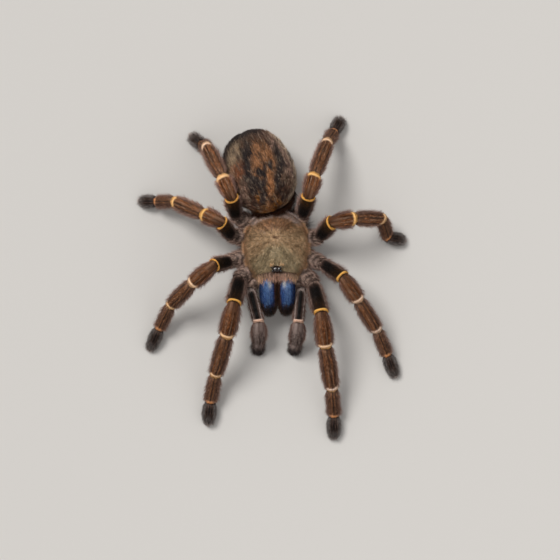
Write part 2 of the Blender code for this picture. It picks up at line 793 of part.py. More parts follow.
def limb_tables():
    """Name of each limb to its side, its pair, its widths and its joints from the sternum."""
    tables = {}
    for name, (root, angles, foot_heading) in {**LEG_POSES, **PALP_POSES}.items():
        side_name, which = name.split("_")
        side = SIDES[side_name]
        widths = limb_widths(which)
        lengths = PALP_LENGTHS if which == "palp" else LEG_LENGTHS[which]
        root_z = PALP_TROCHANTER_Z if which == "palp" else TROCHANTER_Z
        chain = limb_joints(
            root, root_z, lengths, angles, foot_heading, side, widths["tarsus"]
        )
        out, ahead = COXA_ROOTS[which]
        inner = Vector((side * out, -ahead, COXA_ROOT_Z))
        tables[name] = (side_name, which, widths, [inner, *chain])
    return tables


def make_limbs(tables, finishes, frame, sternum, carapace, pedicel, chelicerae):
    """The eight legs and the two palps, as a dict of their pieces by name."""
    pieces = {}
    order = list(COXA_ROOTS)
    for name, (side_name, which, widths, joints) in tables.items():
        stem = name if which == "palp" else f"leg_{name}"
        coxa_bm = swept(article(joints, 0, widths["coxa"], (0, 0.3, 0.6, 1)))
        place = order.index(which)
        for near in order[max(0, place - 1):place + 2]:
            if near != which:
                cut_between_coxae(coxa_bm, joints, tables[f"{side_name}_{near}"][3])
        coxa = add_object(f"{stem}_coxa", coxa_bm, finishes["pale_skin"], frame)
        stand_clear(coxa, [sternum, carapace])
        if which == "palp":
            stand_clear(coxa, chelicerae)
        if which == "4":
            stand_clear(coxa, [pedicel])
        femur_bm = swept(article(joints, 1, widths["femur"], (0, 0.24, 0.5, 0.78, 1)))
        femur = add_object(f"{stem}_femur", femur_bm, finishes["dark_coat"], frame)
        make_end = make_palp_end if which == "palp" else make_leg_end
        for piece in (coxa, femur, *make_end(stem, joints, widths, finishes, frame)):
            pieces[piece.name] = piece
    for side_name in SIDES:
        first_coxa = pieces[f"leg_{side_name}_1_coxa"]
        first_femur = pieces[f"leg_{side_name}_1_femur"]
        stand_clear(pieces[f"{side_name}_palp_coxa"], [first_femur])
        stand_clear(pieces[f"{side_name}_palp_femur"], [*chelicerae, first_coxa, first_femur])
    return pieces


def cover_limbs(pieces, tables, draw, trees, finishes, frame):
    """Locks on the furry articles of the legs and palps."""
    index_of = {"femur": 1, "patella": 2, "tibia": 3, "metatarsus": 4}
    for name, (_, which, widths, joints) in tables.items():
        palp = which == "palp"
        stem = name if palp else f"leg_{name}"
        for part, rows in (PALP_LOCK_ROWS if palp else LEG_LOCK_ROWS).items():
            own_widths = widths[part][::-1] if palp and part == "tibia" else widths[part]
            size = PALP_LOCK if palp else LEG_LOCK
            lies = limb_lies(joints, index_of[part], own_widths, rows, size, draw)
            obj = pieces[f"{stem}_foot" if part == "metatarsus" else f"{stem}_{part}"]
            join_locks(obj, SHORT_LOCK, lies, trees, finishes, frame)


def make_leg_end(stem, joints, widths, finishes, frame):
    """Patella, tibia and foot of one leg."""
    patella_bm = swept(article(joints, 2, widths["patella"], (0, 0.25, 0.5, 0.78, 1)))
    patella = add_object(f"{stem}_patella", patella_bm, finishes["brown_coat"], frame)
    tibia_bm = swept(article(joints, 3, widths["tibia"], (0, 0.2, 0.5, 0.8, 1)))
    tibia = add_object(f"{stem}_tibia", tibia_bm, finishes["brown_coat"], frame)
    foot_bm = swept(two_articles(
        joints, 4, widths["metatarsus"], (0, 0.28, 0.72), widths["tarsus"], FOOT_STATIONS
    ))
    cut_flat(foot_bm, Vector((0, 0, 0)), Vector((0, 0, -1)))
    foot = add_object(f"{stem}_foot", foot_bm, finishes["foot_coat"], frame)
    return patella, tibia, foot


def make_palp_end(stem, joints, widths, finishes, frame):
    """Patella with tibia, and the tarsus, of one palp."""
    tibia_bm = swept(two_articles(
        joints, 2, widths["tibia"], (0, 0.35), widths["tibia"][::-1], (0.3, 0.7, 1)
    ))
    tibia = add_object(f"{stem}_tibia", tibia_bm, finishes["foot_coat"], frame)
    tarsus_bm = swept(article(joints, 4, widths["tarsus"], (0, *FOOT_STATIONS)))
    cut_flat(tarsus_bm, Vector((0, 0, 0)), Vector((0, 0, -1)))
    tarsus = add_object(f"{stem}_tarsus", tarsus_bm, finishes["foot_coat"], frame)
    return tibia, tarsus


def stand_on_origin(frame):
    """Moves the body frame so that the model's box stands on the world's origin."""
    bpy.context.view_layer.update()
    corners = [
        obj.matrix_world @ vert.co
        for obj in frame.children
        for vert in obj.data.vertices
    ]
    low = Vector([min(corner[axis] for corner in corners) for axis in range(3)])
    high = Vector([max(corner[axis] for corner in corners) for axis in range(3)])
    frame.location = -Vector(((low.x + high.x) / 2, (low.y + high.y) / 2, low.z))


def main():
    clear_scene()
    finishes = make_finishes()
    frame = bpy.data.objects.new("body_frame", None)
    bpy.context.scene.collection.objects.link(frame)
    carapace = make_carapace(finishes, frame)
    make_eye_mound(finishes, frame, carapace)
    sternum = make_sternum(finishes, frame, carapace)
    abdomen = make_abdomen(finishes, frame)
    pedicel = make_pedicel(finishes, frame, sternum, abdomen, carapace)
    chelicerae = []
    for side_name, side in SIDES.items():
        chelicera = make_chelicera(f"{side_name}_chelicera", side, finishes, frame, carapace)
        make_fang(f"{side_name}_fang", side, finishes, frame, chelicera)
        make_spinneret(f"{side_name}_spinneret", side, finishes, frame, abdomen)
        chelicerae.append(chelicera)
    tables = limb_tables()
    limbs = make_limbs(tables, finishes, frame, sternum, carapace, pedicel, chelicerae)
    beside = [limbs[f"leg_right_4_{part}"] for part in ("femur", "patella", "tibia")]
    stand_clear(abdomen, [carapace, *beside])
    draw = random.Random(LOCK_SEED)
    trees = [(obj.name, tree_of(obj)) for obj in frame.children]
    cover_limbs(limbs, tables, draw, trees, finishes, frame)
    join_locks(abdomen, LONG_LOCK, abdomen_lies(draw), trees, finishes, frame)
    stand_on_origin(frame)


main()
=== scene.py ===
"""Looks of the blue fang tarantula: skin, shell plates, eyes, jaws and a bristly coat.

Units are metres. The spider faces -Y, its own right side is -X, and +Z is up. Tables are in
the body frame, whose origin is on the floor under the middle of the carapace.
"""

import math

import bmesh
import bpy
import numpy as np
from mathutils import Matrix, Vector


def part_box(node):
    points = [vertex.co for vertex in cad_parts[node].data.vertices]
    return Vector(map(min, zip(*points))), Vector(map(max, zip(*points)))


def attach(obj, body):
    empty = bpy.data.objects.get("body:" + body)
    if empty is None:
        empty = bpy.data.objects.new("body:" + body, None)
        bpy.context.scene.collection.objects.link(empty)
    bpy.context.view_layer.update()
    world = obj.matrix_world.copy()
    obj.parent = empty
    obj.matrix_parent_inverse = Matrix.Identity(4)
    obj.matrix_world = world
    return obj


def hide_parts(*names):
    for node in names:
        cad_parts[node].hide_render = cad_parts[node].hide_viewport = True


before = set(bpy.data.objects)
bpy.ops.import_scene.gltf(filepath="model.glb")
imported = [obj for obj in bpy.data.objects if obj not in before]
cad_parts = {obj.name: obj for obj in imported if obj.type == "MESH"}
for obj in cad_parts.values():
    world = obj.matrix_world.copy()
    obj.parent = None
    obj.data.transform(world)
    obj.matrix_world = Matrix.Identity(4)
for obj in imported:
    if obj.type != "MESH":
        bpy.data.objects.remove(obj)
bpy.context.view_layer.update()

bl_info = {
    "name": "Blue fang tarantula",
    "version": (1, 0, 0),
    "blender": (4, 5, 0),
    "location": "3D View > Sidebar > Spider",
    "description": "Builds the skin, plates, eyes, jaws and coat of a still spider",
    "category": "Add Mesh",
}

UP = Vector((0, 0, 1))
ROOT = "root"

# The body frame's origin in the world, from the sternum, which stands on its midline
STERNUM_Y = -0.0003
STERNUM_HALF = (0.0031, 0.0049)
STERNUM_LEVELS = ((0.0029, 0.70), (0.0031, 0.86), (0.0036, 0.95), (0.0052, 1.0), (0.0068, 1.0))
STERNUM_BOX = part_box("sternum")
ORIGIN = Vector((
    (STERNUM_BOX[0][0] + STERNUM_BOX[1][0]) / 2,
    (STERNUM_BOX[0][1] + STERNUM_BOX[1][1]) / 2 - STERNUM_Y,
    0,
))

# Carapace, as the CAD has it
CARAPACE_HALF_WIDTH = 0.0081
CARAPACE_WIDEST_Y = 0.0004
CARAPACE_REAR_REACH = 0.0083
CARAPACE_FRONT_REACH = 0.0095
CARAPACE_REAR_POWER = 2.2
CARAPACE_FRONT_POWER = 2.5
CLYPEUS_Y = -0.0077
CARAPACE_UNDERSIDE_Z = 0.0070
CARAPACE_MARGIN = 0.0006
CARAPACE_RISE = 0.0042
CARAPACE_DOME_POWER = 2.4
CARAPACE_EDGE_POWER = 0.6
HEAD_BUMP = 0.0007
HEAD_BUMP_Y = -0.0040
HEAD_BUMP_REACH = 0.0034
FOVEA_Y = 0.0022
FOVEA_DEPTH = 0.0006
FOVEA_REACH = 0.0012
# How far the shell lies under the fur's surface, and the depth of its radiating furrows
SHELL_DEPTH = 0.00022
FURROW_DEPTH = 0.00016
SLIT_DEPTH = 0.00015
FURROW_ANGLES = (28, 62, 96, 130)
FURROW_WIDTH = 5.5

EYE_MOUND_Y = -0.0058
EYE_MOUND_HALF = (0.00118, 0.00088, 0.00092)
# Each pair of eyes: half spacing, place along the body, height above the carapace, radius
EYE_PAIRS = (
    (0.00040, -0.00026, 0.00076, 0.00030),
    (0.00105, -0.00050, 0.00040, 0.00029),
    (0.00100, 0.00040, 0.00045, 0.00026),
    (0.00056, 0.00012, 0.00084, 0.00016),
)

ABDOMEN_CENTRE = Vector((-0.0037, 0.0192, 0.0088))
ABDOMEN_HALF = Vector((0.0090, 0.0113, 0.0077))
ABDOMEN_SWING = math.radians(23)
ABDOMEN_POWER = 2.25
ABDOMEN_BELLY_FLAT = 0.80
ABDOMEN_DEPTH = 0.00055

PEDICEL_ENDS = (Vector((0, 0.0030, 0.0052)), Vector((-0.0012, 0.0130, 0.0072)))
PEDICEL_RADIUS = 0.00115
PEDICEL_SHARES = (1.3, 1.1, 1.0, 0.96, 1.0, 1.1, 1.3)
SPINNERET_X = 0.0014
SPINNERET_STATIONS = (
    (0.0060, -0.0052, 0.9), (0.0070, -0.0053, 1.0), (0.0078, -0.0054, 0.84), (0.0082, -0.0054, 0.94),
    (0.0089, -0.0052, 0.74), (0.0093, -0.0050, 0.82), (0.0101, -0.0047, 0.5), (0.0104, -0.0045, 0.2),
)
SPINNERET_RADIUS = 0.00050

CHELICERA_X = 0.00235
# Place along the body, height, tilt of the section in degrees, half width, half height
CHELICERA_STATIONS = (
    (-0.0078, 0.0083, 0, 0.00170, 0.0018),
    (-0.0084, 0.0083, 0, 0.00195, 0.0023),
    (-0.0094, 0.0082, 4, 0.00212, 0.00255),
    (-0.0107, 0.0079, 11, 0.00218, 0.00278),
    (-0.0122, 0.0074, 21, 0.00216, 0.00280),
    (-0.0138, 0.0067, 33, 0.00204, 0.00265),
    (-0.0150, 0.0060, 45, 0.00180, 0.00230),
    (-0.0158, 0.0054, 53, 0.00140, 0.00180),
    (-0.0162, 0.0050, 57, 0.00080, 0.00100),
)
# The jaws' skins stand this much nearer to each other than the solids do
JAW_CLOSER = 0.00007
FANG_X = 0.00219
FANG_RADIUS = 0.00072
FANG_STATIONS = (
    (-0.0146, 0.0050, 1.00), (-0.0150, 0.0040, 1.05), (-0.0152, 0.0030, 1.00), (-0.0150, 0.0022, 0.95),
    (-0.0143, 0.0017, 0.88), (-0.0133, 0.00145, 0.78), (-0.0122, 0.0014, 0.66), (-0.0111, 0.00165, 0.50),
    (-0.0102, 0.0021, 0.32), (-0.0096, 0.0025, 0.10),
)

# Lengths of femur, patella, tibia, metatarsus and tarsus, and half widths of each article
# of the first leg with its short fur, at its base, middle and end
LEG_LENGTHS = {
    "1": (0.0104, 0.0088, 0.0126, 0.0080, 0.0056),
    "2": (0.0092, 0.0075, 0.0106, 0.0078, 0.0058),
    "3": (0.0082, 0.0058, 0.0093, 0.0068, 0.0044),
    "4": (0.0094, 0.0058, 0.0104, 0.0073, 0.0042),
}
PALP_LENGTHS = (0.0096, 0.0030, 0.0042, 0.0046)
HALF_WIDTHS = {
    "coxa": (0.00190, 0.00245, 0.00205),
    "femur": (0.00190, 0.00225, 0.00205),
    "patella": (0.00200, 0.00245, 0.00205),
    "tibia": (0.00195, 0.00220, 0.00180),
    "metatarsus": (0.00175, 0.00190, 0.00175),
    "tarsus": (0.00175, 0.00195, 0.00120),
}
PALP_END_WIDTHS = {
    "patella": (0.00235, 0.00300, 0.00310),
    "tibia": (0.00310, 0.00300, 0.00235),
    "tarsus": (0.00225, 0.00260, 0.00160),
}
PAIR_WIDTH = {"1": 1.0, "2": 0.93, "3": 0.95, "4": 0.95, "palp": 0.68}
FOOT_STATIONS = (0.30, 0.62, 0.86, 1.0)
SOLE_CUT = 0.00022
COXA_ROOT_Z = 0.0048
TROCHANTER_Z = 0.0064
PALP_TROCHANTER_Z = 0.0056
# Each leg's pose: the trochanter's place, heading and rise of each article, foot heading
LIMB_POSES = {
    "right_1": ((0.0095, 0.0079), ((13, 51), (15, -15), (18, -32), (13, -24)), 7),
    "left_1": ((0.0092, 0.0097), ((13, 42), (6, -13), (8, -26), (3, -26)), -2),
    "right_2": ((0.0122, 0.0035), ((75, 66), (52, -15), (47, -39), (29, -29)), 27),
    "left_2": ((0.0116, 0.0046), ((54, 47), (33, -19), (31, -28), (22, -25)), 19),
    "right_3": ((0.0115, -0.0032), ((145, 63), (117, -26), (115, -26), (94, -44)), 94),
    "left_3": ((0.0110, -0.0021), ((137, 54), (98, -2), (89, -38), (19, -45)), 77),
    "right_4": ((0.0101, -0.0080), ((170, 61), (157, 2), (154, -31), (128, -78)), 130),
    "left_4": ((0.0068, -0.0076), ((161, 58), (162, -10), (157, -26), (148, -62)), 150),
    "right_palp": ((0.0070, 0.0104), ((-13, 20), (0, -34), (3, -57)), 7),
    "left_palp": ((0.0062, 0.0106), ((-7, 20), (-4, -32), (-9, -53)), -13),
}
COXA_ROOTS = {
    "palp": (0.0022, 0.0046),
    "1": (0.0028, 0.0031),
    "2": (0.0031, 0.0009),
    "3": (0.0031, -0.0015),
    "4": (0.0025, -0.0036),
}
SIDES = {"right": -1, "left": 1}
LEG_ARTICLES = ("coxa", "femur", "patella", "tibia", "metatarsus", "tarsus")
PALP_ARTICLES = ("coxa", "femur", "patella", "tibia", "tarsus")
ARTICLE_CODE = {name: code for code, name in enumerate(LEG_ARTICLES)}

# How far the skin of each article lies under the short fur's surface
SKIN_DEPTH = {
    "coxa": 0.00034,
    "femur": 0.00046,
    "patella": 0.00050,
    "tibia": 0.00050,
    "metatarsus": 0.00046,
    "tarsus": 0.00042,
}
PALP_SKIN_SHARE = 0.62
LIMB_SIDES = 24
RING_STEP = 0.00045
BAND = 0.00074
BAND_FLARE = 0.00020
# Distances of the skin's last rings from the end of a banded article, and of the first ones
# from an article's start; rings nearer to a bend than the fold's reach are drawn in by its depth
BAND_STOPS = (0.00140, 0.00112, 0.00084, 0.00058, 0.00032, 0.00006)
START_STOPS = (0.00004, 0.00022)
FOLD_REACH = 0.0001
FOLD_DEPTH = 0.00018

# Size of each hair's patch on the coat's unwrap
PATCH = 0.003
FLOOR_CLEARANCE = 0.00004
# Hairs start this far under the skin, and shorter ones than the least length are left out
HAIR_SINK = 0.00005
LEAST_HAIR = 0.00035
FINE_HAIR = 0.00008
STOUT_HAIR = 0.00010
# A palp's hairs are this share of a leg's in length
PALP_HAIR = 0.8
# A distance at which no band colours a limb any more
FAR_FROM_BAND = 0.01
# The shell ends at this share of the carapace's outline
SHELL_SHARE = 0.985


def linear(colour_hex):
    """Linear red, green and blue of an sRGB hex colour."""
    channels = [int(colour_hex[place:place + 2], 16) / 255 for place in (1, 3, 5)]
    return tuple(
        channel / 12.92 if channel <= 0.04045 else ((channel + 0.055) / 1.055) ** 2.4
        for channel in channels
    )


def tone(colour_hex):
    return np.array(linear(colour_hex))


# Colours of the coat, as they lie on the animal
BROWN_DARK = tone("#3f2314")
PALE_STRIPE = tone("#e6bfa0")
FRINGE = tone("#a78578")
NEAR_BLACK = tone("#120b07")
OLIVE_TINT = tone("#6a4420")
CREAM = tone("#ffe0cc")
ORANGE = tone("#f0a468")
FOOT_GREY = tone("#7c6152")
FOOT_BLUE = tone("#887f7a")
COXA_PINK = tone("#f0ccb8")
PALP_MAUVE = tone("#a48f86")
PALP_RIM = tone("#f0d8cc")
OLIVE_DARK = tone("#7a5c3e")
GOLD_LIGHT = tone("#f6d4a8")
SAGE = tone("#b0a684")
RIM_TAN = tone("#f8c89c")
CLYPEUS_PINK = tone("#caa48e")
REAR_PALE = tone("#ffe6da")
BLUE_LIGHT = tone("#9ccaff")
BLUE_DARK = tone("#16284c")
RUFOUS_DARK = tone("#8c5639")
SOOT = tone("#302828")
OLIVE_GREY = tone("#a88e72")
GREY_BROWN = tone("#9a7c6c")
PALE_EDGE = tone("#c2ac94")
VIOLET = tone("#8f98c8")
FRONT_GOLD = tone("#80501e")


class SpiderCoatSettings(bpy.types.PropertyGroup):
    """Sizes of the coat that a user would change."""

    hairs_per_mm2: bpy.props.FloatProperty(
        name="Density", description="Hairs on each square millimetre of a leg",
        default=22.0, min=1.0, max=40.0,
    )
    hair_width: bpy.props.FloatProperty(
        name="Hair width", description="Width of a hair at its root",
        default=0.00009, min=0.00002, max=0.0004, subtype="DISTANCE", unit="LENGTH",
    )
    fringe_length: bpy.props.FloatProperty(
        name="Fringe", description="Length of the bristles at the sides of a leg",
        default=0.0021, min=0.0005, max=0.004, subtype="DISTANCE", unit="LENGTH",
    )
    leg_colour: bpy.props.FloatVectorProperty(
        name="Legs", description="Colour of the legs' streaked brown hair", subtype="COLOR",
        size=3, default=linear("#a4683e"), min=0.0, max=1.0,
    )
    band_colour: bpy.props.FloatVectorProperty(
        name="Bands", description="Colour of the rings at the legs' joints", subtype="COLOR",
        size=3, default=linear("#ffc264"), min=0.0, max=1.0,
    )
    shell_colour: bpy.props.FloatVectorProperty(
        name="Carapace", description="Colour of the carapace's short hair", subtype="COLOR",
        size=3, default=linear("#ecc69a"), min=0.0, max=1.0,
    )
    jaw_colour: bpy.props.FloatVectorProperty(
        name="Jaws", description="Blue of the jaws' hair", subtype="COLOR",
        size=3, default=linear("#2c62b2"), min=0.0, max=1.0,
    )
    patch_colour: bpy.props.FloatVectorProperty(
        name="Patch", description="Colour of the patch on the abdomen's back", subtype="COLOR",
        size=3, default=linear("#b07a50"), min=0.0, max=1.0,
    )
    seed: bpy.props.IntProperty(
        name="Seed", description="Which arrangement of hairs is drawn", default=11, min=0,
    )


class SpiderStageSettings(bpy.types.PropertyGroup):
    """Camera, floor and light."""

    camera_height: bpy.props.FloatProperty(
        name="Camera height", description="Height of the camera above the floor",
        default=0.45, min=0.1, max=2.0, subtype="DISTANCE", unit="LENGTH",
    )
    frame_width: bpy.props.FloatProperty(
        name="Frame width", description="Width of the floor that the camera sees",
        default=0.1456, min=0.05, max=1.0, subtype="DISTANCE", unit="LENGTH",
    )
    floor_colour: bpy.props.FloatVectorProperty(
        name="Floor", description="Colour of the floor", subtype="COLOR", size=3,
        default=linear("#d9d5cf"), min=0.0, max=1.0,
    )
    key_strength: bpy.props.FloatProperty(
        name="Key light", description="Strength of the soft light from the upper left",
        default=2.0, min=0.0, max=20.0,
    )
    fill_power: bpy.props.FloatProperty(
        name="Fill light", description="Power of the light from the other side",
        default=0.35, min=0.0, max=100.0, subtype="POWER", unit="POWER",
    )


def chosen(name):
    """A colour of the coat's settings."""
    return np.array(getattr(bpy.context.scene.spider_coat, f"{name}_colour"))


def half_width_at(widths, share):
    """A half width along an article, by a parabola through its base, middle and end."""
    base, middle, end = widths
    curve = 2 * (base + end - 2 * middle)
    return base + (end - base) * share - curve * share * (1 - share)


def reach_along(heading, rise, side):
    """Unit vector of a limb article from its heading and its rise, in degrees."""
    heading, rise = math.radians(heading), math.radians(rise)
    flat = math.cos(rise)
    return Vector((side * math.sin(heading) * flat, -math.cos(heading) * flat, math.sin(rise)))


def limb_joints(root, root_z, lengths, angles, foot_heading, side, foot_widths):
    """Joints of a limb from the trochanter's end to the tip, with the foot on the floor."""
    joints = [ORIGIN + Vector((side * root[0], -root[1], root_z))]
    for length, (heading, rise) in zip(lengths, angles):
        joints.append(joints[-1] + reach_along(heading, rise, side) * length)
    foot = lengths[len(angles)]
    before = (joints[-1] - joints[-2]).normalized()
    tip_z = foot_widths[2]
    for _ in range(6):
        rise = math.degrees(math.asin((tip_z - joints[-1].z) / foot))
        along = reach_along(foot_heading, rise, side)
        taken = foot_widths[0] * math.tan(along.angle(before) / 2)
        lows = []
        for share in FOOT_STATIONS:
            reach = taken + share * (foot - taken)
            half = half_width_at(foot_widths, reach / foot)
            lows.append(joints[-1].z + along.z * reach - half * math.hypot(along.x, along.y))
        tip_z -= min(lows) + SOLE_CUT
    return [*joints, joints[-1] + along * foot]


class Limb:
    """One leg or palp: its articles, their joints and the planes that halve its bends."""

    def __init__(self, name):
        side_name, self.pair = name.split("_")
        self.name = name
        self.side = SIDES[side_name]
        self.palp = self.pair == "palp"
        self.articles = PALP_ARTICLES if self.palp else LEG_ARTICLES
        table = {**HALF_WIDTHS, **PALP_END_WIDTHS} if self.palp else HALF_WIDTHS
        scale = PAIR_WIDTH[self.pair]
        self.widths = {part: tuple(scale * w for w in table[part]) for part in self.articles}
        root, angles, foot_heading = LIMB_POSES[name]
        lengths = PALP_LENGTHS if self.palp else LEG_LENGTHS[self.pair]
        root_z = PALP_TROCHANTER_Z if self.palp else TROCHANTER_Z
        chain = limb_joints(
            root, root_z, lengths, angles, foot_heading, self.side, self.widths["tarsus"]
        )
        out, ahead = COXA_ROOTS[self.pair]
        self.joints = [ORIGIN + Vector((self.side * out, -ahead, COXA_ROOT_Z)), *chain]

    def nodes(self):
        """Names of the CAD nodes that the limb's flesh stands for."""
        if self.palp:
            return [f"{self.name}_{part}" for part in ("coxa", "femur", "tibia", "tarsus")]
        parts = ("coxa", "femur", "patella", "tibia", "foot")
        return [f"leg_{self.name}_{part}" for part in parts]

    def depth(self, part):
        """How far the skin lies under the short fur's surface."""
        return SKIN_DEPTH[part] * (PALP_SKIN_SHARE if self.palp else 1.0)

    def axes(self, index):
        """Length, direction, side and upward axis of one article."""
        start, end = self.joints[index], self.joints[index + 1]
        along = (end - start).normalized()
        side = along.cross(UP).normalized()
        return (end - start).length, along, side, side.cross(along)

    def arrays(self, index):
        """What axes() gives, with its vectors as arrays."""
        length, *vectors = self.axes(index)
        return (length, *(np.array(vector) for vector in vectors))

    def ends_taken(self, index):
        """How much of an article's length the bends at its two ends take up."""
        return self.taken(index, index), self.taken(index, index + 1)

    def bend(self, joint):
        """Normal of the plane that halves the bend at a joint, or None at an end."""
        if joint in (0, len(self.joints) - 1):
            return None
        before = (self.joints[joint] - self.joints[joint - 1]).normalized()
        after = (self.joints[joint + 1] - self.joints[joint]).normalized()
        return (before + after).normalized()

    def taken(self, index, joint):
        """How much of an article's length its bend at a joint takes up."""
        normal = self.bend(joint)
        if normal is None:
            return 0.0
        _, along, _, _ = self.axes(index)
        half = self.widths[self.articles[index]][0 if joint == index else 2]
        return half * math.tan(math.acos(min(1.0, along.dot(normal))))


LIMBS = {name: Limb(name) for name in LIMB_POSES}


def smooth(low, high, value):
    """0 below low, 1 above high, and a smooth step between."""
    share = np.clip((value - low) / (high - low), 0, 1)
    return share * share * (3 - 2 * share)


def blend(first, second, share):
    """Mix of two colours, or arrays of them, by a share for each point."""
    return first + (second - first) * np.asarray(share)[..., None]


def ripple(values, count, seed):
    """Smooth random waves along one value, between -1 and 1, with about count to a unit."""
    draw = np.random.default_rng(seed)
    knots = draw.uniform(-1, 1, 512)
    place = np.asarray(values) * count
    low = np.floor(place).astype(int)
    share = place - low
    share = share * share * (3 - 2 * share)
    return knots[low % 512] * (1 - share) + knots[(low + 1) % 512] * share


def mottle(across, along, seed):
    """Smooth random patches over two values, between -1 and 1."""
    draw = np.random.default_rng(seed)
    knots = draw.uniform(-1, 1, (64, 64))
    low_x = np.floor(across).astype(int)
    low_y = np.floor(along).astype(int)
    share_x, share_y = across - low_x, along - low_y
    share_x = share_x * share_x * (3 - 2 * share_x)
    share_y = share_y * share_y * (3 - 2 * share_y)
    near = knots[low_x % 64, low_y % 64] * (1 - share_x)
    near = near + knots[(low_x + 1) % 64, low_y % 64] * share_x
    far = knots[low_x % 64, (low_y + 1) % 64] * (1 - share_x)
    far = far + knots[(low_x + 1) % 64, (low_y + 1) % 64] * share_x
    return near * (1 - share_y) + far * share_y


def line_at(values, place, half):
    """1 on a soft line at a place, and 0 away from it."""
    return np.exp(-(((values - place) / half) ** 2))


# Turns from a limb's top, in radians, between which its flank and its underside begin
FLANK_FROM = (0.65, 1.25)
UNDER_FROM = (1.7, 2.4)


def limb_streaks(code, share, turn):
    """Light and dark streaks along a limb, mostly between -1 and 1."""
    around = turn / math.tau + 0.5 + 0.012 * np.sin(share * 5)
    streak = 0.75 * ripple(around, 25, 3 + code[0]) + 0.5 * ripple(around, 57, 14 + code[0])
    return streak * (0.8 + 0.4 * ripple(share, 4, 17))


def coxa_colour(code, share, turn, streak):
    """Thin pale arcs of hair at the folds of the leg's root, over brown and black."""
    lean = np.abs(turn)
    bow = share + 0.13 * np.cos(turn) + 0.02 * ripple(turn, 3, 5 + code[0])
    wave = 0.5 + 0.5 * np.cos((bow - 0.53) * math.tau / 0.155)
    arcs = wave**6 * (0.8 + 0.6 * ripple(turn, 4, 8 + code[0])) + 0.7 * line_at(lean, 1.15, 0.12)
    coxa = blend(BROWN_DARK, COXA_PINK, np.clip(0.40 + 0.60 * streak + 1.2 * arcs, 0, 1))
    dark = 0.75 * (1 - wave) ** 6 + 0.5 * smooth(*UNDER_FROM, lean)
    return blend(coxa, NEAR_BLACK, np.clip(dark, 0, 1))


def femur_colour(limb, share, lean, streak):
    """Black over the top, brown at the root, and olive before the knees of the rear legs."""
    side = np.clip(0.8 * smooth(0.45, 1.25, lean) + 0.05 * streak, 0, 1)
    black = blend(NEAR_BLACK, FRINGE * 0.42, side)
    root_brown = blend(BROWN_DARK, FRINGE, 0.35 + 0.5 * streak)
    black = blend(black, root_brown, 0.7 * (1 - smooth(0.02, 0.30, share)))
    edge_line = line_at(lean, 1.10, 0.10) * (1 - smooth(0.65, 0.9, share))
    black = blend(black, COXA_PINK * 0.8, (0.6 if limb.pair in "12" else 0.25) * edge_line)
    olive = 0.9 if limb.pair in "34" else 0.35
    tint = olive * smooth(0.45, 0.95, share) * (0.7 + 0.6 * streak)
    black = blend(black, OLIVE_TINT, np.clip(tint, 0, 1))
    return blend(black, COXA_PINK, 0.8 * line_at(share, 0.05, 0.035) * (0.6 + 0.6 * streak))


def foot_colour(share, lean):
    """Grey bristles round a black core, and a pale tip."""
    grey = np.maximum(smooth(0.45, 1.0, lean), 0.8 * smooth(0.5, 0.75, share))
    foot = blend(FOOT_GREY * 0.6, FOOT_BLUE, grey)
    core = (1 - smooth(0.34, 0.60, lean)) * smooth(0.02, 0.2, share)
    foot = blend(foot, NEAR_BLACK, 0.9 * core * (1 - smooth(0.42, 0.66, share)))
    foot = blend(foot, FRINGE, 0.35 * line_at(lean, 0.22, 0.07) * (1 - smooth(0.4, 0.6, share)))
    return blend(foot, PALP_RIM, 0.35 * smooth(0.86, 1.0, share))


def palp_colours(share, turn, streak):
    """A palp's black femur with its pale edges, its mauve grey shin and its foot, which darkens towards the
    tip with dark hair and painted shade.
    """
    lean = np.abs(turn)
    flank = smooth(*FLANK_FROM, lean)
    black = blend(NEAR_BLACK, FRINGE, 0.3 * smooth(0.30, 0.6, lean))
    arcs = line_at(lean, 0.98, 0.13) + line_at(share + 0.1 * np.cos(turn), 0.18, 0.04)
    black = blend(black, PALP_RIM, np.clip(arcs, 0, 0.95))
    mauve = blend(PALP_MAUVE, BROWN_DARK, np.clip(0.34 - streak, 0, 1))
    # Darker towards the tip: dark hair with painted shade
    foot = blend(mauve, SOOT, 0.85 * smooth(0.15, 0.6, share))
    foot = blend(foot, PALP_RIM, 0.5 * line_at(share, 0.03, 0.07) * (1 - flank))
    return black, blend(mauve, FRINGE, flank * 0.6), foot


